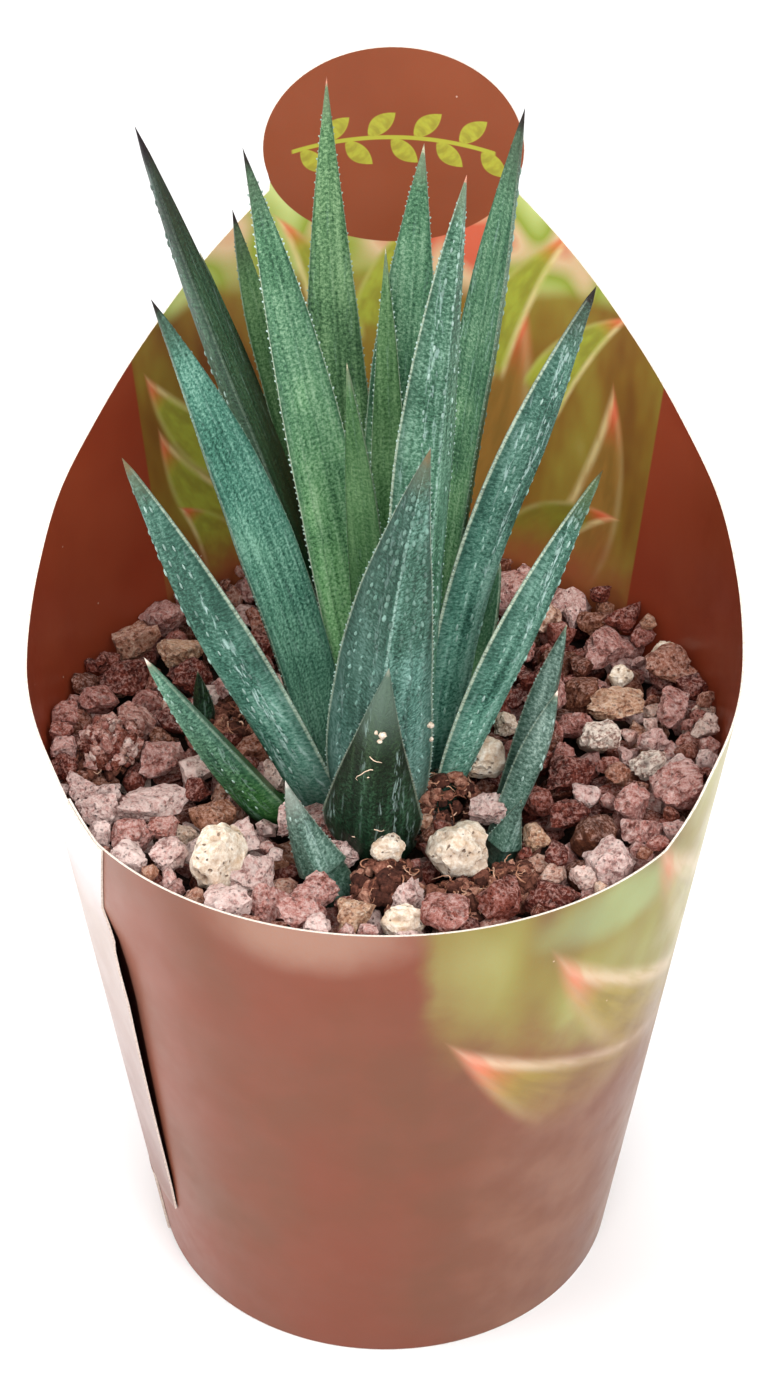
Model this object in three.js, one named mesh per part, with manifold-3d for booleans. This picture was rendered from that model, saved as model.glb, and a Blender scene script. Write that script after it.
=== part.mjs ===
// Potted haworthia: a small rosette succulent with stiff, keeled, pointed leaves. It grows in a plastic
// nursery pot under a bed of lava grit, and the pot stands in a card sleeve with a tall back and an oval
// header. Units are millimetres and +Z is up. The origin is on the floor, on the pot's axis, and -Y is the
// low front of the sleeve.

import * as THREE from "three";
import { ConvexGeometry } from "three/addons/geometries/ConvexGeometry.js";
import { mergeVertices } from "three/addons/utils/BufferGeometryUtils.js";
import Module from "manifold-3d";

const wasm = await Module();
wasm.setup();

const GAP = 0.3; // clearance between pieces that touch

// Card sleeve: a cone of card, as radius at the floor and growth of radius with height
const SLEEVE_RADIUS = 39;
const SLEEVE_TAPER = 0.14;
const CARD = 0.4;
const FRONT_HEIGHT = 100;
const BACK_ANGLE = 88.75; // degrees, where the header stands
// Top edge on either side of the back: degrees from the back and height
const SLEEVE_EDGE = [
  [18.6, 163], [30, 153.5], [42, 143.5], [55, 134], [67, 127], [79, 119.5],
  [92, 113.5], [113, 108.5], [120, 104], [128, FRONT_HEIGHT],
];
// Header: an oval, as half width in degrees and half height, joined to the sleeve at its neck
const HEADER = { centre: 169, halfWidth: 19.5, halfHeight: 15.5, neck: 107, columns: 14 };
const HEADER_ROWS = [148, 161.5]; // heights of the rows of points below the oval
const NECK_FILLET = 0.6; // degrees between the oval's neck and the sleeve's edge
// Closing tab at the left front: the free edge of the outer layer as height and angle in degrees
const TAB_EDGE = [[0, -163], [15, -163], [16, -148], [80.5, -143.5], [85, -146.5], [FRONT_HEIGHT, -141]];
const LAP_END = -172; // degrees, where the two layers of the lap are past each other
const SHEET_END = -525; // degrees, the hidden end of the sheet, under the tab
const LAP_RISE = CARD + 0.15;
const LAP_BLEND = 26; // degrees over which the outer layer comes back to the cone
const LAP_COLUMNS = 4;
const SHEET_STEP = 7; // degrees

// Nursery pot, inside the sleeve: radius and height up the outside, over the rim and down the inside
const POT_OUTSIDE = [[0, 0], [36.6, 0], [37.4, 0.8], [48.2, 83.5], [49.9, 84], [50.7, 89.4]];
const POT_RIM = [[50.2, 90.2], [48.9, 90.2]];
const POT_INSIDE = [[48.2, 88], [47.4, 83.6], [36.5, 1.2], [0, 1.2]];
const POT_SEGMENTS = 48;
const DRAIN = { count: 8, ring: 28, radius: 3, segments: 10 };
const POT_FLOOR = POT_INSIDE.at(-1)[1];

// Peat mix, and the bed of grit on it
const SOIL_TOP = 86;
const GRIT_TOP = 97;
const GRIT_SEGMENTS = 36;
const GRIT_BUMP = 1.1;
const GRIT_RINGS = [48, 41, 34, 27, 20, 12, 5]; // radii of the rings of points across its top

// Stem of the rosette and neck of the side shoot: where they stand, and their outline
const STEM = {
  x: 0,
  y: -7,
  outline: [[0, 58], [2.5, 60], [5, 70], [6.8, 85], [6, 95], [4, 103], [0, 107]],
};
const SHOOT = { x: 17, y: -22, outline: [[0, 78], [1.6, 79], [2.6, 86], [2.2, 93], [0, 96]] };
const STEM_SEGMENTS = 14;

// Leaves, from the heart of the rosette outwards. foot: where the midline leaves the grit. tip: its end.
// bow: how far the middle stands off the straight line. wide and deep: full width, and margin to keel.
// keel: the direction that the keeled back faces, in degrees. taper: how much of the length, from the
// tip, widens. root: what the buried base reaches.
const LEAVES = [
  {
    name: "leaf_heart_young", foot: [-1, -5], tip: [-5.5, -4, 164.5], bow: [0.5, 0, 0],
    wide: 6.5, deep: 2.5, keel: 60,
  },
  {
    name: "leaf_heart_thin", foot: [1, 0], tip: [0, 14, 174], bow: [0, 1, -0.5],
    wide: 6, deep: 3, keel: 80,
  },
  {
    name: "leaf_right_keeled", foot: [4, -9], tip: [11, -4, 193], bow: [-2.5, -1, 0.5],
    wide: 10, deep: 4, keel: -60, taper: 0.5,
  },
  {
    name: "leaf_left_broad", foot: [-2, -3], tip: [-20.5, 18, 187.5], bow: [1.5, 1.5, -1],
    wide: 9.5, deep: 4, keel: 110, taper: 0.5,
  },
  {
    name: "leaf_right_of_centre", foot: [2, 2], tip: [5.5, 16, 189], bow: [-1.5, 1.5, -1],
    wide: 11, deep: 4, keel: 80, taper: 0.5,
  },
  {
    name: "leaf_centre_tall", foot: [-1.5, 2], tip: [-8.5, 26, 195], bow: [-2, 2, -1.5],
    wide: 10.5, deep: 4.5, keel: 95, taper: 0.6,
  },
  {
    name: "leaf_right_tall", foot: [5, -3], tip: [19.5, 12, 196], bow: [-1.5, 1, -0.5],
    wide: 8, deep: 4, keel: 40, taper: 0.4,
  },
  {
    name: "leaf_right_arching", foot: [7, -6], tip: [30, 4, 172.5], bow: [-6, 0, 0],
    wide: 11, deep: 5.5, keel: -15,
  },
  {
    name: "leaf_left_outer", foot: [-8, -9], tip: [-33.5, 4, 170.5], bow: [3, 0, 0],
    wide: 11, deep: 5, keel: 140,
  },
  {
    name: "leaf_front_broad", foot: [-1, -17], tip: [6, -32, 166.5], bow: [-2, -2, 1.5],
    wide: 15.5, deep: 6, keel: -92, taper: 0.7,
  },
  {
    name: "leaf_far_left_tall", foot: [-2, 4], tip: [-36, 20, 190], bow: [1, 1.5, -1],
    wide: 9, deep: 4, keel: 165, taper: 0.45,
  },
  {
    name: "leaf_far_left_behind", foot: [-5, 8], tip: [-28, 28, 166.5], bow: [0, 2, -1.5],
    wide: 8, deep: 3.5, keel: 150, taper: 0.5,
  },
  {
    name: "leaf_thin_left", foot: [-2, 6], tip: [-23, 30, 172.5], bow: [-1, 2, -1.5],
    wide: 4, deep: 3, keel: 120, taper: 0.2,
  },
  {
    name: "leaf_left_low", foot: [-8, -14], tip: [-37.5, -10, 152.5], bow: [2, -1, 0.5],
    wide: 11.5, deep: 6.5, keel: 200,
  },
  {
    name: "leaf_right_low", foot: [8.5, -12], tip: [31, -10, 150.5], bow: [-3, -1, 0.5],
    wide: 10.5, deep: 5, keel: -20,
  },
  {
    name: "leaf_back_right", foot: [8, 2], tip: [18, 14, 120], bow: [0, 0, 0],
    wide: 9, deep: 4, keel: 40,
  },
  {
    name: "leaf_back_centre", foot: [4, 7], tip: [11, 22, 139], bow: [0, 1, -1],
    wide: 10, deep: 4, keel: 70,
  },
  {
    name: "leaf_back_left", foot: [-4, 10], tip: [-8, 27, 132], bow: [0, 1, -1],
    wide: 10, deep: 4, keel: 105,
  },
  {
    name: "leaf_front_short", foot: [-2, -26], tip: [0.5, -33, 132], bow: [-0.5, -1, 0.5],
    wide: 15, deep: 6, keel: -95, taper: 0.8,
  },
  {
    name: "leaf_left_stub", foot: [-15, -18], tip: [-35, -20, 125], bow: [0, 0, 0],
    wide: 9.5, deep: 5, keel: 200, taper: 0.9,
  },
  {
    name: "leaf_front_stub", foot: [-9, -34], tip: [-14.5, -31, 111], bow: [-0.5, 0, 0],
    wide: 8, deep: 3, keel: -90, taper: 0.9, root: "grit",
  },
  {
    name: "shoot_leaf_back", foot: [19, -14], tip: [27.5, -2, 119], bow: [0, 0, 0],
    wide: 5, deep: 2.5, keel: -70, root: "shoot",
  },
  {
    name: "shoot_leaf_middle", foot: [18, -21], tip: [25.5, -16, 116.5], bow: [0, 0, 0],
    wide: 5.5, deep: 2.5, keel: -60, root: "shoot",
  },
  {
    name: "shoot_leaf_stub", foot: [17.5, -28], tip: [20, -27, 104.5], bow: [0, 0, 0],
    wide: 5, deep: 2.5, keel: -100, taper: 0.9, root: "shoot",
  },
  {
    name: "seedling_leaf", foot: [-28.5, 5], tip: [-29.5, 6, 105], bow: [0, 0, 0],
    wide: 3.5, deep: 1.5, keel: -100, taper: 0.9, root: "grit",
  },
];
const LEAF_TAPER = 0.55;
const LEAF_WAIST = 0.15; // share of the width lost again towards the foot
const LEAF_STEPS = 8; // from foot to tip
const BURIED_STEPS = 2;
const BURIED_DEPTH = 9;
const BURIED_REACH = 6; // how far a buried base runs on straight before it turns to the stem
const ROOT_OFFSET = 1; // how far off the stem's axis a buried base ends
const LEAF_MARGIN = 0.2; // half thickness of the leaf's edge
const HOLLOW = 0.06; // dip of the inner face, as a share of the depth
const SHOULDER = { across: 0.55, deep: 0.62 }; // corner of the back, as shares of half width and depth
const LEAF_POINT = 0.02; // size of the tip, as a share of the last full section

// Stones that stand out of the grit: place, full sizes along X, Y and Z, turn about Z, and colour
const CREAM = 0xe6dcc4;
const PINK = 0xb68d88;
const MAUVE = 0x8a6262;
const DARK = 0x5e3631;
const TAN = 0xa98873;
const STONES = [
  { name: "cream_pitted_pumice", at: [-25, -36], size: [8.5, 11, 8], turn: -15, colour: CREAM },
  { name: "pink_flat_lava", at: [-35.5, -18], size: [12, 9, 5], turn: 20, colour: PINK },
  { name: "pink_rim_lava", at: [-43, -21], size: [6, 6, 5], turn: 50, colour: PINK },
  { name: "dark_lava_clump", at: [-42.5, -5], size: [10, 11, 8], turn: 30, colour: DARK },
  { name: "tan_back_lava", at: [-33, 21], size: [8, 8, 6], turn: 10, colour: TAN },
  { name: "pink_front_left_lava", at: [-32, -31.5], size: [5.5, 5.5, 5], turn: 15, colour: PINK },
  { name: "round_pumice", at: [10.5, -31], size: [9, 9, 8], turn: 0, colour: CREAM },
  { name: "white_right_pumice", at: [16, -8], size: [6.5, 7, 6], turn: 40, colour: CREAM },
  { name: "small_white_pumice", at: [0.5, -34], size: [5, 4, 4], turn: 10, colour: CREAM },
  { name: "white_front_pumice", at: [2.5, -47.5], size: [6.5, 5.5, 5], turn: 0, colour: CREAM },
  { name: "orange_front_lava", at: [-4.5, -46.5], size: [6, 6, 5.5], turn: 25, colour: TAN },
  { name: "mauve_front_lava", at: [3.5, -41], size: [5.5, 5, 5], turn: 60, colour: MAUVE },
  { name: "mauve_left_front_lava", at: [-12, -45], size: [7, 6, 5], turn: 10, colour: MAUVE },
  { name: "pink_upright_lava", at: [-14, -25.5], size: [4, 4, 7], turn: 0, colour: PINK },
  { name: "dark_front_lava", at: [24, -41.5], size: [8, 8, 6], turn: 35, colour: DARK },
  { name: "pale_angular_lava", at: [32.5, -34], size: [8, 8, 7], turn: 45, colour: PINK },
  { name: "large_mauve_lava", at: [44, -17.5], size: [7.5, 9, 8], turn: 10, colour: MAUVE },
  { name: "tan_flat_lava", at: [36.5, 7], size: [9.5, 7, 4], turn: 5, colour: TAN },
  { name: "white_rough_pumice", at: [33.5, -2], size: [7, 5.5, 5], turn: 20, colour: CREAM },
  { name: "white_speckled_pumice", at: [40.5, -9], size: [6, 5.5, 5], turn: 0, colour: CREAM },
  { name: "brown_back_lava", at: [35.5, 24], size: [9, 8, 7], turn: 30, colour: DARK },
  { name: "mauve_back_lava", at: [45.5, 4.5], size: [5.5, 7, 6], turn: 0, colour: MAUVE },
];
const STONE_SINK = 0.3; // share of a stone's height that is below the grit's level
const STONE_CORNERS = 18;
const STONE_ROUGH = 0.14; // how far a corner may fall short, as a share of the radius
const STONE_TWIST = 0.7; // radians that a corner may turn

const finish = {
  card: new THREE.MeshStandardMaterial({ color: 0x9c6046, roughness: 0.35, metalness: 0 }),
  plastic: new THREE.MeshStandardMaterial({ color: 0x2b211d, roughness: 0.45, metalness: 0 }),
  peat: new THREE.MeshStandardMaterial({ color: 0x3b261b, roughness: 0.95, metalness: 0 }),
  grit: new THREE.MeshStandardMaterial({ color: 0x7a4a43, roughness: 0.9, metalness: 0 }),
  stem: new THREE.MeshStandardMaterial({ color: 0x8a7a58, roughness: 0.8, metalness: 0 }),
  leaf: new THREE.MeshStandardMaterial({ color: 0x3c6e55, roughness: 0.5, metalness: 0 }),
};

const radians = THREE.MathUtils.degToRad;

function sleeveRadius(z) {
  return SLEEVE_RADIUS + SLEEVE_TAPER * z;
}

function polar(radius, degrees, z) {
  return new THREE.Vector3(radius * Math.cos(radians(degrees)), radius * Math.sin(radians(degrees)), z);
}

// A fixed sequence of numbers from 0 to 1, so that the shapes are the same each time
function sequence(seed) {
  let state = seed;
  return () => {
    state = (state * 1664525 + 1013904223) % 4294967296;
    return state / 4294967296;
  };
}

// ---- closed meshes ----

function meshGeometry(points, faces) {
  const geometry = new THREE.BufferGeometry();
  const numbers = points.flatMap((p) => [p.x, p.y, p.z]);
  geometry.setAttribute("position", new THREE.Float32BufferAttribute(numbers, 3));
  geometry.setIndex(faces.flat());
  return geometry;
}

// Skin over rings of points, closed at each end by a fan to its middle. Rings run anticlockwise, seen
// from the last ring towards the first.
function loft(rings) {
  const count = rings[0].length;
  const points = rings.flat();
  const faces = [];
  for (let i = 0; i + 1 < rings.length; i++) {
    for (let j = 0; j < count; j++) {
      const a = i * count + j;
      const b = i * count + ((j + 1) % count);
      faces.push([a, b, b + count], [a, b + count, a + count]);
    }
  }
  const close = (ring, start, flip) => {
    const middle = ring.reduce((sum, p) => sum.add(p), new THREE.Vector3()).divideScalar(count);
    points.push(middle);
    for (let j = 0; j < count; j++) {
      const a = start + j;
      const b = start + ((j + 1) % count);
      faces.push(flip ? [b, a, points.length - 1] : [a, b, points.length - 1]);
    }
  };
  close(rings[0], 0, true);
  close(rings.at(-1), (rings.length - 1) * count, false);
  return meshGeometry(points, faces);
}

// Solid between an outer and an inner grid of points, both as columns of the same length
function sheet(outer, inner) {
  const rows = outer[0].length;
  const columns = outer.length;
  const points = [...outer.flat(), ...inner.flat()];
  const faces = [];
  const quad = (a, b, c, d) => faces.push([a, b, c], [a, c, d]);
  const front = (i, j) => i * rows + j;
  const back = (i, j) => columns * rows + i * rows + j;
  for (let i = 0; i + 1 < columns; i++) {
    for (let j = 0; j + 1 < rows; j++) {
      quad(front(i + 1, j), front(i, j), front(i, j + 1), front(i + 1, j + 1));
      quad(back(i, j), back(i + 1, j), back(i + 1, j + 1), back(i, j + 1));
    }
    quad(front(i, 0), front(i + 1, 0), back(i + 1, 0), back(i, 0));
    quad(front(i + 1, rows - 1), front(i, rows - 1), back(i, rows - 1), back(i + 1, rows - 1));
  }
  const last = columns - 1;
  for (let j = 0; j + 1 < rows; j++) {
    quad(front(0, j + 1), front(0, j), back(0, j), back(0, j + 1));
    quad(front(last, j), front(last, j + 1), back(last, j + 1), back(last, j));
  }
  return meshGeometry(points, faces);
}

// Outline of radius and height, turned about Z
function turned(outline, segments) {
  const points = outline.map(([radius, z]) => new THREE.Vector2(radius, z));
  return new THREE.LatheGeometry(points, segments).rotateX(Math.PI / 2);
}

// ---- cutting ----

function solidOf(geometry) {
  const bare = geometry.clone();
  bare.deleteAttribute("normal");
  bare.deleteAttribute("uv");
  const merged = mergeVertices(bare, 1e-4);
  const index = merged.index.array;
  const kept = [];
  for (let i = 0; i < index.length; i += 3) {
    const [a, b, c] = [index[i], index[i + 1], index[i + 2]];
    if (a !== b && b !== c && c !== a) kept.push(a, b, c);
  }
  return new wasm.Manifold(
    new wasm.Mesh({
      numProp: 3,
      vertProperties: new Float32Array(merged.attributes.position.array),
      triVerts: new Uint32Array(kept),
    }),
  );
}

function geometryOf(solid) {
  const mesh = solid.getMesh();
  const geometry = new THREE.BufferGeometry();
  geometry.setAttribute("position", new THREE.BufferAttribute(new Float32Array(mesh.vertProperties), 3));
  geometry.setIndex(new THREE.BufferAttribute(new Uint32Array(mesh.triVerts), 1));
  return geometry;
}

function largestPiece(solid) {
  return solid.decompose().reduce((best, piece) => (piece.volume() > best.volume() ? piece : best));
}

function cutBy(geometry, tools) {
  let solid = solidOf(geometry);
  for (const tool of tools) solid = solid.subtract(tool);
  return geometryOf(largestPiece(solid));
}

// ---- card sleeve ----

const edgeSpline = new THREE.SplineCurve(SLEEVE_EDGE.map(([turn, z]) => new THREE.Vector2(turn, z)));
const edgeSamples = edgeSpline.getPoints(60);

function between(table, x) {
  const k = Math.max(1, table.findIndex(([at]) => at >= x));
  const [x0, y0] = table[k - 1];
  const [x1, y1] = table[k];
  return THREE.MathUtils.clamp(y0 + ((y1 - y0) * (x - x0)) / (x1 - x0), Math.min(y0, y1), Math.max(y0, y1));
}

function edgeHeight(degrees) {
  const turn = Math.abs(THREE.MathUtils.euclideanModulo(degrees - BACK_ANGLE + 180, 360) - 180);
  if (turn >= SLEEVE_EDGE.at(-1)[0]) return FRONT_HEIGHT;
  return between(edgeSamples.map((p) => [p.x, p.y]), turn);
}

// Card surface at an angle along the sheet, which runs from the tab's edge clockwise to the hidden end
function cardPoint(degrees, z, depth) {
  const past = (LAP_END - degrees) / LAP_BLEND;
  const rise = LAP_RISE * (1 - THREE.MathUtils.smoothstep(past, 0, 1));
  return polar(sleeveRadius(z) + rise - depth, degrees, z);
}

// One column of the sheet, as [angle, height] from the floor to the top edge
function plainColumn(share, degrees) {
  const low = TAB_EDGE.slice(0, -1).map(([z, edge]) => [edge + (degrees - edge) * share, z]);
  const [, startTop] = TAB_EDGE.at(-1);
  const end = startTop + (degrees - startTop) * share;
  const top = edgeHeight(end);
  const rise = top - low.at(-1)[1];
  return [...low, [end, top - (2 * rise) / 3], [end, top - rise / 3], [end, top]];
}

function headerColumn(across) {
  const turn = across * HEADER.neck;
  const neck = HEADER.halfWidth * Math.sin(radians(HEADER.neck));
  const foot = BACK_ANGLE - 360 - neck * across;
  const low = TAB_EDGE.slice(0, -1).map(([z]) => [foot, z]);
  const outline = [
    BACK_ANGLE - 360 - HEADER.halfWidth * Math.sin(radians(turn)),
    HEADER.centre + HEADER.halfHeight * Math.cos(radians(turn)),
  ];
  return [...low, ...HEADER_ROWS.map((z) => [foot, z]), outline];
}

function sleeveColumns() {
  const columns = [];
  for (let k = 0; k < LAP_COLUMNS; k++) columns.push(plainColumn(k / LAP_COLUMNS, LAP_END));
  const neck = HEADER.halfWidth * Math.sin(radians(HEADER.neck));
  const back = BACK_ANGLE - 360;
  const stretch = (from, to) => {
    const steps = Math.round((from - to) / SHEET_STEP);
    for (let k = 0; k < steps; k++) columns.push(plainColumn(1, from + ((to - from) * k) / steps));
  };
  stretch(LAP_END, back + neck + NECK_FILLET);
  for (let k = 0; k <= HEADER.columns; k++) columns.push(headerColumn((2 * k) / HEADER.columns - 1));
  stretch(back - neck - NECK_FILLET, SHEET_END);
  columns.push(plainColumn(1, SHEET_END));
  return columns;
}

function cardSleeve() {
  const columns = sleeveColumns();
  const face = (depth) => columns.map((column) => column.map(([turn, z]) => cardPoint(turn, z, depth)));
  return sheet(face(0), face(CARD));
}

// ---- pot, peat and stems ----

function nurseryPot() {
  const shell = turned([...POT_OUTSIDE, ...POT_RIM, ...POT_INSIDE], POT_SEGMENTS);
  const drains = [];
  for (let k = 0; k < DRAIN.count; k++) {
    const drain = new THREE.CylinderGeometry(DRAIN.radius, DRAIN.radius, 4 * POT_FLOOR, DRAIN.segments);
    const place = polar(DRAIN.ring, (360 * k) / DRAIN.count, POT_FLOOR / 2);
    drains.push(solidOf(drain.rotateX(Math.PI / 2).translate(place.x, place.y, place.z)));
  }
  return cutBy(shell, drains);
}

function potInside(z) {
  const wall = POT_INSIDE.slice(0, -1).map(([radius, height]) => [height, radius]);
  return between(wall.reverse(), z);
}

function pottingSoil() {
  const low = POT_FLOOR + GAP;
  return turned(
    [[0, low], [potInside(low) - GAP, low], [potInside(SOIL_TOP) - GAP, SOIL_TOP], [0, SOIL_TOP]],
    POT_SEGMENTS,
  );
}

function stemGeometry(stem, clearance) {
  const outline = stem.outline.map(([r, z]) => [r === 0 ? 0 : r + clearance, z]);
  outline[0][1] -= clearance;
  outline.at(-1)[1] += clearance;
  return turned(outline, STEM_SEGMENTS).translate(stem.x, stem.y, 0);
}

// ---- leaves ----

// Two curves: the buried base, and the blade from the grit to the tip
function leafMidline(leaf) {
  const foot = new THREE.Vector3(...leaf.foot, GRIT_TOP);
  const tip = new THREE.Vector3(...leaf.tip);
  const control = foot.clone().add(tip).multiplyScalar(0.5).addScaledVector(new THREE.Vector3(...leaf.bow), 2);
  const start = control.clone().sub(foot).normalize();
  const below = foot.clone().addScaledVector(start, -BURIED_REACH);
  const end = foot.clone().addScaledVector(start, -BURIED_DEPTH);
  if (leaf.root !== "grit") {
    const stem = leaf.root === "shoot" ? SHOOT : STEM;
    const reach = new THREE.Vector3(leaf.foot[0] - stem.x, leaf.foot[1] - stem.y, 0);
    reach.setLength(Math.min(reach.length(), ROOT_OFFSET));
    end.set(stem.x + reach.x, stem.y + reach.y, GRIT_TOP - BURIED_DEPTH);
  }
  return [
    new THREE.QuadraticBezierCurve3(end, below, foot),
    new THREE.QuadraticBezierCurve3(foot, control, tip),
  ];
}

// Stations from the buried base to just short of the tip, each with its place and its run
function leafStations(leaf) {
  const [buried, blade] = leafMidline(leaf);
  const stations = [];
  for (let k = 0; k < BURIED_STEPS; k++) {
    const t = k / BURIED_STEPS;
    stations.push({ at: buried.getPoint(t), run: buried.getTangent(t), left: 1 });
  }
  for (let k = 0; k < LEAF_STEPS; k++) {
    const t = k / LEAF_STEPS;
    stations.push({ at: blade.getPoint(t), run: blade.getTangent(t), left: 1 - t });
  }
  return stations;
}

// Share of the full width that a leaf has when this share of its length is left to the tip
function leafSpread(left, taper) {
  const spread = Math.sin((Math.PI / 2) * Math.min(1, left / taper));
  const waist = left > taper ? LEAF_WAIST * ((left - taper) / (1 - taper)) ** 2 : 0;
  return spread * (1 - waist);
}

// Keeled section: two margins, a keel behind and a slightly hollow inner face
function leafGeometry(leaf, clearance = 0) {
  const facing = new THREE.Vector3(Math.cos(radians(leaf.keel)), Math.sin(radians(leaf.keel)), 0);
  const ring = ({ at, run, left }, k) => {
    if (k === 0) at.addScaledVector(run, -clearance);
    const spread = leafSpread(left, leaf.taper ?? LEAF_TAPER);
    const keel = facing.clone().addScaledVector(run, -facing.dot(run)).normalize();
    const across = new THREE.Vector3().crossVectors(keel, run);
    const half = (leaf.wide / 2) * spread + clearance;
    const deep = leaf.deep * spread + clearance;
    const margin = Math.min(LEAF_MARGIN, deep / 2) + clearance;
    const place = (side, back) => at.clone().addScaledVector(across, side).addScaledVector(keel, back);
    return [
      place(half, -margin),
      place(half, margin),
      place(SHOULDER.across * half, SHOULDER.deep * deep + margin),
      place(0, deep + margin),
      place(-SHOULDER.across * half, SHOULDER.deep * deep + margin),
      place(-half, margin),
      place(-half, -margin),
      place(0, HOLLOW * deep - margin),
    ];
  };
  const stations = leafStations(leaf);
  const rings = stations.map(ring);
  const tip = new THREE.Vector3(...leaf.tip).addScaledVector(stations.at(-1).run, clearance);
  const point = rings.at(-1).map((p) => tip.clone().lerp(p, LEAF_POINT));
  return loft([...rings, point]);
}

// ---- grit ----

function stoneGeometry(stone, clearance = 0) {
  const [x, y] = stone.at;
  const next = sequence(stone.name.length * 977 + Math.round(x * 31 + y * 17));
  const [wide, long, high] = stone.size.map((size) => size / 2 + clearance);
  const corners = [];
  for (let k = 0; k < STONE_CORNERS; k++) {
    const up = 1 - (2 * (k + 0.5)) / STONE_CORNERS;
    const turn = k * Math.PI * (3 - Math.sqrt(5)) + STONE_TWIST * next();
    const out = Math.sqrt(1 - up * up) * (1 - STONE_ROUGH * next());
    corners.push(new THREE.Vector3(wide * out * Math.cos(turn), long * out * Math.sin(turn), high * up));
  }
  const middle = GRIT_TOP + stone.size[2] * (0.5 - STONE_SINK);
  return new ConvexGeometry(corners).rotateZ(radians(stone.turn)).translate(...stone.at, middle);
}

// A rough bed over the peat and out over the pot's rim to the card
function gritBed() {
  const next = sequence(4021);
  const low = SOIL_TOP + GAP;
  const overRim = POT_RIM[0][1] + GAP;
  const wall = (z) => sleeveRadius(z) - CARD - GAP;
  const ring = (radius, height) =>
    Array.from({ length: GRIT_SEGMENTS }, (_, k) => polar(radius, (360 * k) / GRIT_SEGMENTS, height()));
  const rings = [
    ring(potInside(low) - GAP, () => low),
    ring(POT_INSIDE[0][0] - 2 * GAP, () => overRim),
    ring(wall(overRim), () => overRim),
    ring(wall(GRIT_TOP - GRIT_BUMP), () => GRIT_TOP - GRIT_BUMP * (1 + next())),
  ];
  for (const radius of GRIT_RINGS) {
    rings.push(ring(radius, () => GRIT_TOP + GRIT_BUMP * (2 * next() - 1)));
  }
  return loft(rings);
}

// ---- assembly ----

const plant = new THREE.Group();

function add(name, geometry, material) {
  const mesh = new THREE.Mesh(geometry, material);
  mesh.name = name;
  plant.add(mesh);
}

add("card_sleeve", cardSleeve(), finish.card);
add("nursery_pot", nurseryPot(), finish.plastic);

const taken = [solidOf(stemGeometry(STEM, GAP)), solidOf(stemGeometry(SHOOT, GAP))];
add("rosette_stem", stemGeometry(STEM, 0), finish.stem);
add("side_shoot_neck", stemGeometry(SHOOT, 0), finish.stem);

for (const leaf of LEAVES) {
  const geometry = cutBy(leafGeometry(leaf), taken);
  add(leaf.name, geometry, finish.leaf);
  taken.push(solidOf(leafGeometry(leaf, GAP)));
}

for (const stone of STONES) {
  add(stone.name, cutBy(stoneGeometry(stone), taken), finish.grit.clone());
  plant.children.at(-1).material.color.set(stone.colour);
  taken.push(solidOf(stoneGeometry(stone, GAP)));
}

add("potting_soil", cutBy(pottingSoil(), taken), finish.peat);
add("grit_bed", cutBy(gritBed(), taken), finish.grit);

export default plant;
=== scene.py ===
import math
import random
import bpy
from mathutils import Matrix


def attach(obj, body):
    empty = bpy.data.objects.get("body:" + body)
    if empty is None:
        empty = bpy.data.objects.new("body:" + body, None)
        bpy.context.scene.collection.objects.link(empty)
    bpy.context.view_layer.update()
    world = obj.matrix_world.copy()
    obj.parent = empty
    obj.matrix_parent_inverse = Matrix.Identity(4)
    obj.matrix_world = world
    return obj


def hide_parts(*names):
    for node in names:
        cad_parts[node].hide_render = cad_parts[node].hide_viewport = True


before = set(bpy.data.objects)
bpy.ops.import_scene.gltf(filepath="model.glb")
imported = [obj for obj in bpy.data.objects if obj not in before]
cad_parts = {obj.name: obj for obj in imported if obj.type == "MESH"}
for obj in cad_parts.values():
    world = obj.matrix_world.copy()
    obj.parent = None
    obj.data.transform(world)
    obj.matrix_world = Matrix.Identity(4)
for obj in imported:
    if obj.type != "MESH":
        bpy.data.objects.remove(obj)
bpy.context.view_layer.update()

# Looks of a potted haworthia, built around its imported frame: a rosette of keeled leaves, a nursery pot
# with lava grit, and a printed card sleeve. Sizes are written in millimetres and scaled once, in
# make_object. +Z is up, the origin is on the floor on the pot's axis, and -Y is the front. Colours are
# written as 8-bit ones.

from types import SimpleNamespace

import bmesh
import bpy
import numpy as np
from mathutils import Vector, noise

MM = 0.001
scene = bpy.context.scene
# Seeds of the random draws
LEAF_SEED, LITTER_SEED, GRIT_SEED, PEAT_SEED = 100, 31, 20, 8


# ---- small helpers ----


def srgb(*levels):
    """Linear colour of an 8-bit one."""
    shares = [level / 255 for level in levels]
    return (*(s / 12.92 if s <= 0.04045 else ((s + 0.055) / 1.055) ** 2.4 for s in shares), 1.0)


def polar(radius, degrees, z):
    turn = math.radians(degrees)
    return [radius * math.cos(turn), radius * math.sin(turn), z]


def unit(vectors):
    vectors = np.asarray(vectors, float)
    return vectors / np.linalg.norm(vectors, axis=-1, keepdims=True)


def smooth(value):
    """An eased rise from 0 to 1."""
    value = np.clip(value, 0, 1)
    return value * value * (3 - 2 * value)


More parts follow.
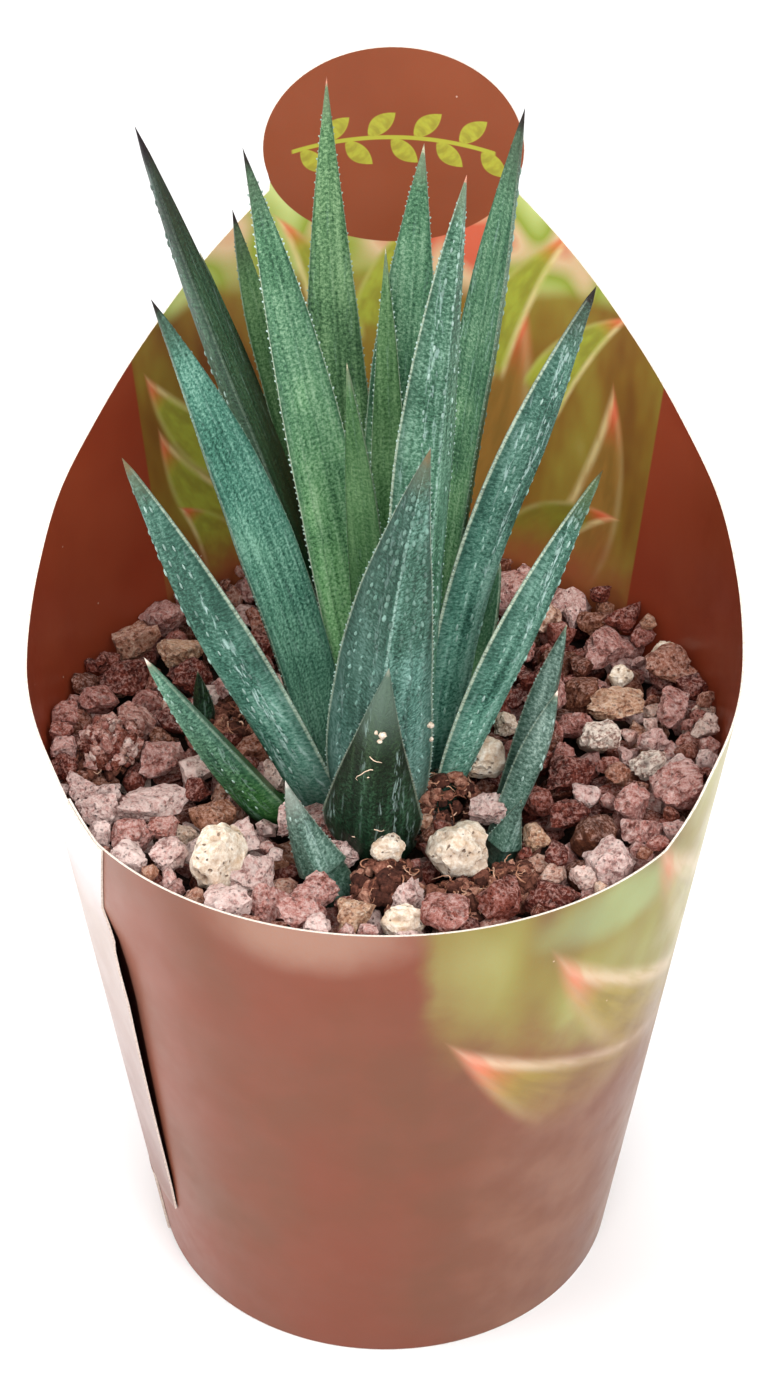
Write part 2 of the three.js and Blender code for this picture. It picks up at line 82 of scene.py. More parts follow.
class Parts:
    """Shapes that make up one mesh, with a value for each point by name."""

    def __init__(self):
        self.points, self.faces, self.values, self.count = [], [], {}, 0

    def add(self, points, faces, pit=None, **values):
        """pit: how deep in a pit of a stone each point is, for shapes that have it."""
        if pit is not None:
            values["pit"] = pit
        self.points.append(np.asarray(points, float))
        self.faces += [[corner + self.count for corner in face] for face in faces]
        for key, value in values.items():
            filled = np.broadcast_to(np.asarray(value, float), (len(points),))
            self.values.setdefault(key, []).append(filled)
        self.count += len(points)

    def make(self, name, material, record_slot):
        values = {key: np.concatenate(parts) for key, parts in self.values.items()}
        return make_object(name, np.concatenate(self.points), self.faces, [material], record_slot, values)


def make_object(name, points, faces, materials, record_slot, values=None):
    mesh = bpy.data.meshes.new(name)
    mesh.from_pydata((np.asarray(points) * MM).tolist(), [], faces)
    for material in materials:
        mesh.materials.append(material)
    for key, numbers in (values or {}).items():
        layer = mesh.attributes.new(key, "FLOAT", "POINT")
        layer.data.foreach_set("value", np.asarray(numbers, np.float32))
    mesh.polygons.foreach_set("use_smooth", [True] * len(mesh.polygons))
    mesh.update()
    made = bpy.data.objects.new(name, mesh)
    scene.collection.objects.link(made)
    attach(made, "root")
    return made


def loft_faces(rings, count):
    """Quads over rings of count points, and a fan at each end to one of two points after the rings."""
    faces = []
    for i in range(rings - 1):
        for j in range(count):
            a, b = i * count + j, i * count + (j + 1) % count
            faces.append([a, b, b + count, a + count])
    first, last = rings * count, (rings - 1) * count
    faces += [[(j + 1) % count, j, first] for j in range(count)]
    faces += [[last + j, last + (j + 1) % count, first + 1] for j in range(count)]
    return faces


# ---- material nodes ----


class Wire:
    """The output of a node. Arithmetic with it adds math nodes."""

    def __init__(self, nodes, socket):
        self.nodes, self.socket = nodes, socket

    def __add__(self, other):
        return self.nodes.math("ADD", self, other)

    def __sub__(self, other):
        if isinstance(other, Wire):
            return self.nodes.math("SUBTRACT", self, other)
        return self.nodes.math("ADD", self, -other)

    def __rsub__(self, number):
        return self.nodes.math("SUBTRACT", float(number), self)

    def __mul__(self, other):
        return self.nodes.math("MULTIPLY", self, other)

    def __abs__(self):
        return self.nodes.math("ABSOLUTE", self)


class Nodes:
    """A node material, with a method for each kind of step. Lengths in it are in millimetres."""

    def __init__(self, name):
        self.material = bpy.data.materials.new(name)
        self.material.use_nodes = True
        self.tree = self.material.node_tree
        self.tree.nodes.clear()
        self.shader = self.tree.nodes.new("ShaderNodeBsdfPrincipled")
        self.node("OutputMaterial", {"Surface": Wire(self, self.shader.outputs[0])}, output=None)
        self.place = self.scaled(self.node("TexCoord", output="Object"), (1000, 1000, 1000))

    def put(self, value, socket):
        if isinstance(value, Wire):
            self.tree.links.new(value.socket, socket)
        else:
            socket.default_value = srgb(*value) if socket.type == "RGBA" else value

    def node(self, kind, inputs=(), output=0, **settings):
        """An output of a new node, with these inputs by name or number."""
        made = self.tree.nodes.new("ShaderNode" + kind)
        for key, value in settings.items():
            setattr(made, key, value)
        for key, value in dict(inputs).items():
            self.put(value, made.inputs[key])
        return None if output is None else Wire(self, made.outputs[output])

    def scaled(self, vector, scale):
        return self.node("Mapping", {"Vector": vector, "Scale": scale})

    def value(self, name):
        return self.node("Attribute", output="Fac", attribute_name=name)

    def join(self, x, y, z=0.0):
        return self.node("CombineXYZ", {0: x, 1: y, 2: z})

    def up(self, vector):
        """The Z of a vector."""
        return self.node("SeparateXYZ", {0: vector}, output=2)

    def math(self, operation, a, b=0.0):
        return self.node("Math", {0: a, 1: b}, operation=operation)

    def step(self, value, low, high, start=0.0, end=1.0):
        """A smooth rise from start at low to end at high. low may be above high."""
        if low > high:
            low, high, start, end = high, low, end, start
        inputs = {"Value": value, "From Min": low, "From Max": high, "To Min": start, "To Max": end}
        return self.node("MapRange", inputs, interpolation_type="SMOOTHSTEP")

    def noise(self, vector, scale, detail=2.0, rough=0.5, bend=0.0):
        inputs = {"Vector": vector, "Scale": scale, "Detail": detail, "Roughness": rough, "Distortion": bend}
        return self.node("TexNoise", inputs, output="Fac")

    def cells(self, vector, scale):
        return self.node("TexVoronoi", {"Vector": vector, "Scale": scale}, output="Distance")

    def ramp(self, value, *stops):
        """Colours at places from 0 to 1."""
        ramp = self.node("ValToRGB", {0: value})
        elements = ramp.socket.node.color_ramp.elements
        while len(elements) < len(stops):
            elements.new(1.0)
        for element, (at, colour) in zip(elements, stops):
            element.position = at
            element.color = srgb(*colour)
        return ramp

    def mix(self, share, a, b, blend="MIX"):
        """From colour a to colour b."""
        return self.node("Mix", {0: share, 6: a, 7: b}, output=2, data_type="RGBA", blend_type=blend)

    def bump(self, *layers):
        """Bumps over one another, each a height and its depth in millimetres."""
        normal = None
        for height, depth in layers:
            inputs = {"Distance": depth * MM, "Height": height}
            if normal is not None:
                inputs["Normal"] = normal
            normal = self.node("Bump", inputs)
        return normal

    def finish(self, colour, rough, normal=None, gloss=0.5):
        inputs = {"Base Color": colour, "Roughness": rough, "Specular IOR Level": gloss}
        if normal is not None:
            inputs["Normal"] = normal
        for key, value in inputs.items():
            self.put(value, self.shader.inputs[key])
        return self.material


# ---- leaves ----

GRIT_TOP = 97.0
BURIED_REACH = 6.0
BURIED_DEPTH = 9.0
# Where a leaf's buried end goes. A leaf that has none goes straight down.
ROOTS = {"stem": (0.0, -7.0), "shoot": (17.0, -22.0)}
BLADE_STATIONS = 110
BLADE_END = 0.994  # the last ring, as a share of the blade
BURIED_STATIONS = 5
SECTION_POINTS = 52
MARGIN = 0.28  # half thickness of a leaf's edge
RIDGE = 0.07  # height of the soft ridges along a leaf
HOLLOW = 0.08  # depth of a leaf's front, as a share of its thickness
WAVE = 0.05  # how much wider and narrower a leaf gets along its length, as a share of its width
WAVE_SEED = 3.7  # what sets the waves of one leaf off from those of the next
TOOTH_SIZE = np.array([0.1, 0.2, 0.26])
# Teeth and dots: the length they keep off the foot and the chance added to it, the length they keep off
# the tip, the mean step, the least and the spread of a step as shares of it, and the least half width
TEETH = (0, 3, 2.5, 1.05, 0.5, 1.0, 0.7)
DOTS = (4, 4, 4, 1.9, 0.6, 0.8, 1.2)

# From the heart of the rosette outwards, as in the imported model: foot, tip, bow, width, depth, the way
# that its keel faces, colours of its skin and of its tip, lines of raised dots on each half of the back
LEAF_FIELDS = ("name", "foot", "tip", "bow", "wide", "deep", "keel", "skin", "end", "rows")
# Then what differs from the usual: where it starts to taper from, how much narrower its foot is, how
# straight its flanks are, what it grows from, how dark it is, how much pale scurf it has, how pale its
# keel and its margins are, how much painted shade darkens the left half of its back, and the size of
# its dots
LEAF_USUAL = dict(
    taper=0.55, waist=0.15, straight=0.0, root="stem", shade=0.0, scurf=0.3, crest=0.0, teeth=0.35,
    lean=0.12, dots=1.0,
)
LEAF_TABLE = [
    ("leaf_heart_young", (-1, -5), (-5.5, -4, 164.5), (0.5, 0, 0), 6.5, 2.5, 60, "bright", "pale", 0,
     dict(shade=0.75)),
    ("leaf_heart_thin", (1, 0), (0, 14, 174), (0, 1, -0.5), 5.6, 3, 80, "bright", "pale", 0,
     dict(shade=0.5, teeth=0.8)),
    ("leaf_right_keeled", (4, -9), (11, -4, 193), (-2.5, -1, 0.5), 10, 4, -60, "sage", "pink", 1,
     dict(taper=0.5, scurf=0.5, crest=0.4, teeth=0.7)),
    ("leaf_left_broad", (-2, -3), (-20.5, 18, 187.5), (1.5, 1.5, -1), 9.5, 4, 110, "green", "dark", 1,
     dict(teeth=1.0)),
    ("leaf_right_of_centre", (2, 2), (5.5, 16, 189), (-1.5, 1.5, -1), 11, 4, 80, "green", "pale", 1,
     dict(taper=0.5, shade=0.28, teeth=0.5)),
    ("leaf_centre_tall", (-1.5, 2), (-8.5, 26, 195), (-2, 2, -1.5), 10.5, 4.5, 95, "spring", "pink", 1,
     dict(taper=0.65, shade=0.06, teeth=0.5)),
    ("leaf_right_tall", (5, -3), (19.5, 12, 196), (-1.5, 1, -0.5), 8, 4, 40, "green", "dark", 1,
     dict(taper=0.4, shade=0.42, scurf=0.8)),
    ("leaf_right_arching", (7, -6), (30, 4, 172.5), (-6, 0, 0), 11.5, 5.5, -15, "pale_base", "dark", 2,
     dict(taper=0.36, scurf=0.9, teeth=0.9)),
    ("leaf_left_outer", (-8, -9), (-33.5, 4, 170.5), (3, 0, 0), 11, 5, 140, "teal", "dark", 1,
     dict(scurf=0.5)),
    ("leaf_front_broad", (-1, -17), (6, -32, 166.5), (-2, -2, 1.5), 15.5, 6.5, -92, "slate", "brown", 3,
     dict(taper=0.82, dots=1.5, scurf=0.2, crest=0.6, lean=0.5, teeth=0.5)),
    ("leaf_far_left_tall", (-2, 4), (-36, 20, 190), (1, 1.5, -1), 8, 4, 165, "painted_shade", "burnt", 1,
     dict(taper=0.45, scurf=0.6, shade=0.35, lean=0.4, teeth=0.15)),
    ("leaf_far_left_behind", (-5, 8), (-28, 28, 166.5), (0, 2, -1.5), 8.5, 3.5, 150, "painted_shade", "pale", 1,
     dict(taper=0.5)),
    ("leaf_thin_left", (-2, 6), (-23, 30, 172.5), (-1, 2, -1.5), 4.4, 3, 120, "bright", "dark", 0,
     dict(taper=0.25, shade=0.5)),
    ("leaf_left_low", (-8, -14), (-37.5, -10, 152.5), (2, -1, 0.5), 11.5, 6.5, 200, "pale_base", "brown", 2,
     dict(scurf=1.0, shade=0.4, teeth=0.6)),
    ("leaf_right_low", (8.5, -12), (31, -10, 150.5), (-3, -1, 0.5), 10.5, 5, -20, "pale_base", "olive", 2,
     dict(waist=0.4, scurf=0.9, teeth=0.9)),
    ("leaf_back_right", (8, 2), (18, 14, 120), (0, 0, 0), 9, 4, 40, "green", "pale", 1, dict(shade=0.5)),
    ("leaf_back_centre", (4, 7), (11, 22, 139), (0, 1, -1), 10, 4, 70, "green", "brown", 1, dict(shade=0.5)),
    ("leaf_back_left", (-4, 10), (-8, 27, 132), (0, 1, -1), 10, 4, 105, "green", "pale", 1, dict(shade=0.5)),
    ("leaf_front_short", (-2, -26), (0.5, -33, 132), (-0.5, -1, 0.5), 15, 6, -95, "dark", "grey", 0,
     dict(taper=0.84, straight=1.0, scurf=0.5, shade=0.35)),
    ("leaf_left_stub", (-15, -18), (-35, -20, 125), (0, 0, 0), 9.5, 5, 200, "bright_base", "white", 1,
     dict(taper=0.9, shade=0.1, teeth=0.25)),
    ("leaf_front_stub", (-9, -34), (-14.5, -31, 111), (-0.5, 0, 0), 8, 3, -90, "grey", "dry", 1,
     dict(taper=0.97, straight=0.9, root="grit")),
    ("shoot_leaf_back", (19, -14), (27.5, -2, 119), (0, 0, 0), 5, 2.5, -70, "grey", "pale", 0,
     dict(root="shoot")),
    ("shoot_leaf_middle", (18, -21), (25.5, -16, 116.5), (0, 0, 0), 5.5, 2.5, -60, "grey", "white", 1,
     dict(root="shoot", scurf=0.6)),
    ("shoot_leaf_stub", (17.5, -28), (20, -27, 104.5), (0, 0, 0), 5.6, 2.5, -100, "grey", "pale", 0,
     dict(taper=0.97, straight=1.0, root="shoot", shade=0.15)),
    ("seedling_leaf", (-28.5, 5), (-29.5, 6, 105), (0, 0, 0), 3.5, 1.5, -100, "dark", "pale", 0,
     dict(taper=0.9, root="grit")),
]
LEAVES = [
    SimpleNamespace(number=number, **{**LEAF_USUAL, **dict(zip(LEAF_FIELDS, row)), **more})
    for number, (*row, more) in enumerate(LEAF_TABLE)
]
# Skin colours as dark, middle and light, of the upper part of a leaf and then of its lower part. The
# lower part of most skins is paler, partly the leaves' own paler bases and partly painted light that
# lifts the shade low in the rosette; the skin of the far left leaves is a dark green with painted shade,
# darkest on its lower part.
SKINS = {
    "teal": ((26, 66, 54), (72, 124, 106), (140, 184, 166),
             (26, 64, 50), (78, 126, 102), (138, 184, 160)),
    "pale_base": ((22, 54, 44), (58, 102, 86), (120, 160, 144),
                  (36, 82, 68), (104, 160, 140), (166, 208, 192)),
    "slate": ((20, 48, 38), (52, 90, 74), (110, 148, 134),
              (28, 64, 54), (82, 126, 114), (138, 178, 168)),
    "green": ((30, 68, 46), (82, 128, 94), (150, 184, 152),
              (50, 106, 54), (126, 184, 120), (192, 228, 180)),
    "spring": ((30, 64, 36), (82, 122, 80), (146, 180, 134),
               (48, 102, 48), (124, 180, 112), (190, 226, 170)),
    "sage": ((22, 56, 40), (62, 102, 80), (130, 166, 144),
             (32, 74, 54), (88, 140, 112), (150, 192, 168)),
    # a dark green with painted shade, darkest on the lower part
    "painted_shade": ((14, 42, 28), (42, 82, 56), (96, 134, 106),
             (6, 24, 14), (18, 48, 30), (52, 86, 62)),
    "grey": ((38, 60, 50), (84, 112, 100), (150, 172, 160),
             (32, 62, 50), (80, 112, 98), (142, 168, 156)),
    "bright": ((36, 72, 36), (92, 132, 84), (146, 180, 130),
               (36, 86, 38), (100, 154, 96), (156, 200, 142)),
    "bright_base": ((32, 68, 54), (86, 128, 106), (144, 180, 158),
                    (16, 56, 16), (46, 96, 44), (100, 150, 90)),
    "dark": ((8, 18, 8), (22, 42, 20), (60, 82, 50),
             (5, 16, 9), (18, 48, 30), (56, 96, 70)),
}
SKIN_STOPS = (0.45, 0.57, 0.72)
# Colours of the dried tip and of the grey below it, and the shares of the blade that they take
ENDS = {
    "dark": ((30, 22, 18), (58, 64, 50), 0.045, 0.15),
    "pink": ((206, 140, 116), (110, 118, 94), 0.016, 0.08),
    "pale": ((186, 180, 150), (116, 124, 100), 0.02, 0.08),
    "brown": ((104, 92, 66), (92, 96, 76), 0.05, 0.14),
    "grey": ((128, 136, 120), (100, 122, 108), 0.05, 0.46),
    "white": ((236, 214, 198), (120, 126, 106), 0.05, 0.1),
    "olive": ((72, 66, 34), (76, 88, 44), 0.03, 0.18),
    "burnt": ((28, 20, 24), (44, 42, 40), 0.08, 0.3),
    "dry": ((190, 184, 176), (150, 156, 146), 0.1, 0.5),
}


def bezier(a, b, c, t):
    """Places on a curve, and the way that it runs there."""
    t = t[:, None]
    place = (1 - t) ** 2 * a + 2 * t * (1 - t) * b + t * t * c
    return place, unit(2 * (1 - t) * (b - a) + 2 * t * (c - b))


def leaf_line(leaf):
    """Stations from the buried base to the tip: place, run, and share of the blade's length left."""
    foot, tip = np.array([*leaf.foot, GRIT_TOP], float), np.array(leaf.tip, float)
    control = (foot + tip) / 2 + 2 * np.array(leaf.bow, float)
    start = unit(control - foot)
    end = foot - BURIED_DEPTH * start
    if leaf.root in ROOTS:
        stem = ROOTS[leaf.root]
        reach = np.array([foot[0] - stem[0], foot[1] - stem[1]])
        reach /= max(1.0, float(np.linalg.norm(reach)))
        end = np.array([stem[0] + reach[0], stem[1] + reach[1], GRIT_TOP - BURIED_DEPTH])
    low = np.linspace(0, 1, BURIED_STATIONS, endpoint=False)
    high = np.linspace(0, BLADE_END, BLADE_STATIONS)
    buried = bezier(end, foot - BURIED_REACH * start, foot, low)
    blade = bezier(foot, control, tip, high)
    left = np.concatenate([np.ones(len(low)), 1 - high])
    return np.vstack([buried[0], blade[0]]), np.vstack([buried[1], blade[1]]), left


def leaf_spread(leaf, left):
    """Share of the full width."""
    low = np.clip((left - leaf.taper) / (1 - leaf.taper), 0, 1)
    rise = np.minimum(1, left / leaf.taper)
    flank = (1 - leaf.straight) * np.sin(np.pi / 2 * rise) + leaf.straight * rise
    return flank * (1 - leaf.waist * low**2)


class LeafSurface:
    """Where a leaf's skin is, at a share of its length and a share of its half width."""

    def __init__(self, leaf, seed):
        self.leaf = leaf
        self.place, self.run, self.left = leaf_line(leaf)
        facing = np.array(polar(1, leaf.keel, 0))
        self.keel = unit(facing - (self.run @ facing)[:, None] * self.run)
        self.across = np.cross(self.keel, self.run)
        spread = leaf_spread(leaf, self.left)
        steps = np.linalg.norm(np.diff(self.place, axis=0), axis=1)
        self.length = np.concatenate([[0], np.cumsum(steps)])
        waves = [noise.noise(Vector((0.09 * s, seed, 0.5))) for s in self.length]
        self.half = leaf.wide / 2 * spread * (1 + WAVE * np.array(waves))
        self.deep = leaf.deep * spread

    def offset(self, u, back, half, deep):
        """How far the skin stands off the midline towards the keel."""
        a = np.abs(u)
        thick = np.minimum(MARGIN, 0.45 * half) * np.sqrt(np.clip(1 - a**10, 0, 1))
        ridges = RIDGE * np.cos(u * 2.5 * np.pi) * np.minimum(1, half / 3)
        if back:
            return deep * (0.5 * (1 - a**2) + 0.5 * (1 - a)) + thick + ridges
        return deep * HOLLOW * (1 - u * u) - thick + 0.5 * ridges

    def at(self, index, u, back=True):
        """Points for stations and shares across that go together."""
        index = np.asarray(index, float)
        low = np.clip(np.floor(index).astype(int), 0, len(self.left) - 2)
        part = (index - low)[..., None]

        def between(table):
            flat = table if table.ndim > 1 else table[:, None]
            return flat[low] * (1 - part) + flat[low + 1] * part

        half, deep = between(self.half)[..., 0], between(self.deep)[..., 0]
        off = self.offset(u, back, half, deep)
        across = between(self.across) * (half * u)[..., None]
        return between(self.place) + across + between(self.keel) * off[..., None]


def leaf_skin(parts, surface):
    turn = np.linspace(0, 2 * np.pi, SECTION_POINTS, endpoint=False)
    stations = len(surface.left)
    index = np.repeat(np.arange(stations), SECTION_POINTS)
    share = np.tile(np.cos(turn), stations)
    back = np.tile(np.sin(turn) >= -1e-9, stations)
    points = np.where(back[:, None], surface.at(index, share), surface.at(index, share, False))
    leaf = surface.leaf
    points = np.vstack([points, surface.place[0] - surface.run[0], leaf.tip])
    ends = ((index, (0, stations - 1)), (share, (0, 0)), (back, (1, 1)))
    index, share, back = (np.concatenate(pair) for pair in ends)
    parts.add(
        points, loft_faces(stations, SECTION_POINTS), left=surface.left[index], along=surface.length[index],
        across=share * surface.half[index], share=share, back=back, mark=0.0, shade=leaf.shade,
        scurf=leaf.scurf * (0.35 + 0.65 * back), crest=leaf.crest * back, edge=leaf.teeth, lean=leaf.lean,
    )


def small_bump(middle, axes, sizes):
    """A small rounded pip, with its half sizes along three axes."""
    segments, tilts = 6, (-35, 5, 50)
    rings = [
        (*polar(math.cos(math.radians(tilt)), 360 * k / segments, 0)[:2], math.sin(math.radians(tilt)))
        for tilt in tilts for k in range(segments)
    ]
    shape = np.array(rings + [(0, 0, -1), (0, 0, 1)]) * sizes
    points = middle + sum(shape[:, k : k + 1] * axis for k, axis in enumerate(axes))
    return points, loft_faces(len(tilts), segments)


def add_pip(parts, surface, index, u, sizes, mark, out=None):
    """A pip on the back of a leaf that stands out, straight off it if no way is given."""
    middle = surface.at(index, u)
    run = unit(surface.at(index + 0.5, u) - middle)
    low = int(index)
    if out is None:
        out = unit(np.cross(run, surface.at(index, u - 0.02) - surface.at(index, u + 0.02)))
        out = -out if out @ surface.keel[low] < 0 else out
    parts.add(
        *small_bump(middle, (np.cross(run, out), run, out), sizes), left=surface.left[low],
        along=surface.length[low], across=u * surface.half[low], share=0.9 * u, back=1.0, mark=mark,
        shade=surface.leaf.shade, scurf=0.0, crest=0.0, edge=0.0, lean=0.0,
    )


def walk(surface, rng, start, chance, end, step, least, spread, half):
    """Uneven steps along a blade: the index of each place that is wide enough."""
    length = surface.length[BURIED_STATIONS] + start + chance * rng.random()
    while length < surface.length[-1] - end:
        index = float(np.interp(length, surface.length, np.arange(len(surface.left))))
        if surface.half[int(index)] > half:
            yield index
        length += step * (least + spread * rng.random())


def leaf_teeth(parts, surface, rng):
    """Teeth along both margins, leaning to the tip."""
    pale = surface.leaf.teeth
    for side in (-1, 1):
        for index in walk(surface, rng, *TEETH):
            out = unit(side * surface.across[int(index)] + 0.45 * surface.run[int(index)])
            size = (0.4 + 0.8 * rng.random()) * (0.75 + 0.3 * pale)
            add_pip(parts, surface, index, 0.995 * side, TOOTH_SIZE * size, 0.9 * pale, out)


def leaf_dots(parts, surface, rng):
    """Raised dots on the back: along the keel, and in rows on each half."""
    rows, swell = surface.leaf.rows, surface.leaf.dots
    lines = [0.0] + [side * (row + 1) / (rows + 1) for side in (-1, 1) for row in range(rows)]
    dash = 0.3 + 0.3 * surface.leaf.scurf
    for line in lines if rows else []:
        for index in walk(surface, rng, *DOTS):
            if rng.random() > 0.3:
                size = swell * (0.6 + 0.7 * rng.random())
                u = line + 0.1 * (rng.random() - 0.5)
                sizes = np.array([0.18, dash, 0.17 * swell]) * size
                mark = (0.2 + 0.4 * rng.random()) / swell**3
                add_pip(parts, surface, index, u, sizes, mark)


def leaf_material(skin, end):
    name = f"leaf_skin_{skin}_{end}"
    if name in bpy.data.materials:
        return bpy.data.materials[name]
    n = Nodes(name)
    along, across, share, back, left = map(n.value, ("along", "across", "share", "back", "left"))
    flat = n.join(across, along, back * 7.3)
    grain = n.noise(flat, 2.2, 3.0, 0.7)
    streak = n.noise(n.scaled(flat, (1.1, 0.035, 1)), 1.0, 2.0, 0.5)
    blotch = n.noise(n.place, 0.11, 2.0)
    mottle = grain * 0.66 + (streak * 0.28 + blotch * 0.21)
    upper, lower = (n.ramp(mottle, *zip(SKIN_STOPS, SKINS[skin][k : k + 3])) for k in (0, 3))
    # from the upper skin to the lower one, whose paler tones are partly painted light and whose darkest, on
    # the far left leaves, are painted shade
    colour = n.mix(n.step(left + (blotch - 0.5) * 0.5, 0.3, 0.85), upper, lower)
    # faint dark lines run the length of the leaf, and painted shade darkens it towards its margins
    dark = SKINS[skin][0]
    stripe = n.math("FRACT", share * 1.6 + ((blotch - 0.5) * 0.5 + 5.3))
    colour = n.mix(n.step(abs(stripe - 0.5), 0.07, 0.015) * 0.24, colour, dark)
    side = abs(share)
    colour = n.mix(n.step(side, 0.74, 0.97, 0, 0.5), colour, dark)
    colour = n.mix(n.value("shade") * 0.75, colour, dark)
    # painted shade on the left half of the leaf, as much as its row in the table gives
    colour = n.mix(n.step(share, 0.0, 0.12) * n.value("lean"), colour, dark)
    # broken pale lines of scurf, in a few lanes along the leaf
    dashes = n.noise(n.scaled(flat, (2.4, 0.34, 1)), 1.0, 3.0, 0.65, 0.5)
    lane = n.noise(n.scaled(flat, (0.85, 0.02, 1)), 1.0, 1.0)
    scurf = n.step(dashes, 0.5, 0.62) * n.step(lane, 0.5, 0.62) * n.step(side, 0.97, 0.8) * n.value("scurf")
    colour = n.mix(scurf * 0.8, colour, (176, 204, 198))
    # the keel and the margins are pale horny lines, and the raised dots are pale
    crest = n.step(side, 0.05, 0.015) * n.value("crest")
    colour = n.mix(crest * n.step(grain, 0.35, 0.6, 0.1, 0.9), colour, (166, 194, 184))
    edge = n.step(side, 0.955, 0.985) * n.value("edge")
    colour = n.mix(edge * n.step(grain, 0.3, 0.6, 0.2, 0.8), colour, (196, 208, 184))
    colour = n.mix(n.value("mark"), colour, (186, 210, 202))
    # painted shade darkens the foot where it goes into the grit; the tip is greyer and dried
    foot = (28, 84, 20) if skin == "bright_base" else (20, 44, 26)
    colour = n.mix(n.step(left, 0.88, 1.0) * 0.4, colour, foot)
    tip_colour, grey_colour, tip_share, grey_share = ENDS[end]
    uneven = left + (grain - 0.5) * 0.03
    colour = n.mix(n.step(uneven, grey_share, 0.3 * grey_share, 0, 0.6), colour, grey_colour)
    colour = n.mix(n.step(uneven, tip_share, 0.4 * tip_share), colour, tip_colour)
    normal = n.bump((streak, 0.15), (grain, 0.2), (scurf, 0.06))
    return n.finish(colour, n.step(grain, 0.3, 0.8, 0.34, 0.52), normal, gloss=0.2)


def make_leaves():
    for leaf in LEAVES:
        rng = random.Random(LEAF_SEED + leaf.number)
        surface = LeafSurface(leaf, WAVE_SEED * leaf.number)
        parts = Parts()
        leaf_skin(parts, surface)
        leaf_teeth(parts, surface, rng)
        leaf_dots(parts, surface, rng)
        made = parts.make(leaf.name + "_skin", leaf_material(leaf.skin, leaf.end), "leaf")
        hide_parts(leaf.name)


# Crumbs on the leaves: leaf, share of its length from the tip, share of its half width, half size.
# Hairs have their length in place of the half size.
CRUMBS = [
    ("leaf_front_short", 0.31, -0.2, 0.55), ("leaf_front_short", 0.335, -0.08, 0.4),
    ("leaf_front_short", 0.3, 0.16, 0.3), ("leaf_front_broad", 0.74, -0.95, 0.55),
    ("leaf_front_broad", 0.79, -0.97, 0.35), ("leaf_left_low", 0.8, 0.3, 0.3),
]
HAIRS = [
    ("leaf_front_short", 0.42, 0.24, 3.0), ("leaf_front_short", 0.47, 0.05, 3.4),
    ("leaf_front_short", 0.52, 0.2, 2.4), ("leaf_front_short", 0.84, 0.35, 4.0),
    ("leaf_front_short", 0.76, -0.1, 2.6),
]


def on_leaf(name, left, u, lift):
    """A point this far off the back of a leaf."""
    leaf = next(leaf for leaf in LEAVES if leaf.name == name)
    surface = LeafSurface(leaf, WAVE_SEED * leaf.number)
    index = float(np.interp(-left, -surface.left[BURIED_STATIONS:], np.arange(BLADE_STATIONS)))
    index += BURIED_STATIONS
    return surface.at(index, u) + lift * surface.keel[int(index)]


def make_litter(materials):
    rng = np.random.default_rng(LITTER_SEED)
    crumbs, hairs = Parts(), Parts()
    for name, left, u, half in CRUMBS:
        size = 2 * half * rng.uniform(0.8, 1.2, 3)
        crumbs.add(*stone(rng, size, 0, MEDIUM, CREAM, on_leaf(name, left, u, 0.5 * half)))
    for name, left, u, length in HAIRS:
        add_fibre(hairs, rng, on_leaf(name, left, u, 0.25), length, 0.08, climb=0.0, tone=1.3)
    crumbs.make("leaf_crumbs", materials["pumice"], "pumice")
    hairs.make("leaf_hairs", materials["fibre"], "peat")


# ---- stones, peat and fibres ----

WALL = 52.2  # radius that the grit fills, inside the card
CARD_GAP = 0.25  # what stones and fibres keep off the card
CELL = 0.5  # size of a cell of the height map that stones are dropped on
HEAP_FLOOR = 90.5
LOW_LIMIT, STONE_LIMIT, SMALL_LIMIT = 95.5, 98.2, 98.6  # heights that stones may come to rest at
STONE_CREASE = math.radians(26)  # facets that meet at more than this have a sharp edge
NO_REST = 999.0
LOW_COUNT, STONE_COUNT, SMALL_COUNT = 330, 480, 260  # how many stones are dropped
WALL_SHARE = 0.22  # how many of the places tried lie against the card
SINK = 0.16  # how far a dropped stone sinks in, as a share of its height
COARSE, MEDIUM, FINE = 2, 3, 4  # how often the ball is divided that a stone is made from

CREAM, PALE, PINK, TAN, MAUVE, RED, CLUMP = range(7)
LAVA_TONE = {PINK: 0.86, TAN: 0.7, MAUVE: 0.58, RED: 0.1, CLUMP: 0.3}
STONE_SLOTS = {
    CREAM: "pumice", PALE: "pumice", PINK: "pink_lava", TAN: "tan_lava", MAUVE: "lava_grit",
    RED: "dark_lava", CLUMP: "dark_lava",
}
PALE_LOOKS = {CREAM: "pumice", PALE: "pale"}
# What makes a stone's shape: how many flat faces it has, how far in the nearest stands, how sharp the
# edges between them are, how many pits it has and how deep they are, and how rough it is
FORMS = {CREAM: (22, 0.78, 18, 26, 0.14, 0.095), PALE: (14, 0.7, 26, 44, 0.12, 0.15)}
LAVA_FORM = (11, 0.62, 34, 20, 0.11, 0.14)
WIDEST_PIT = 0.17

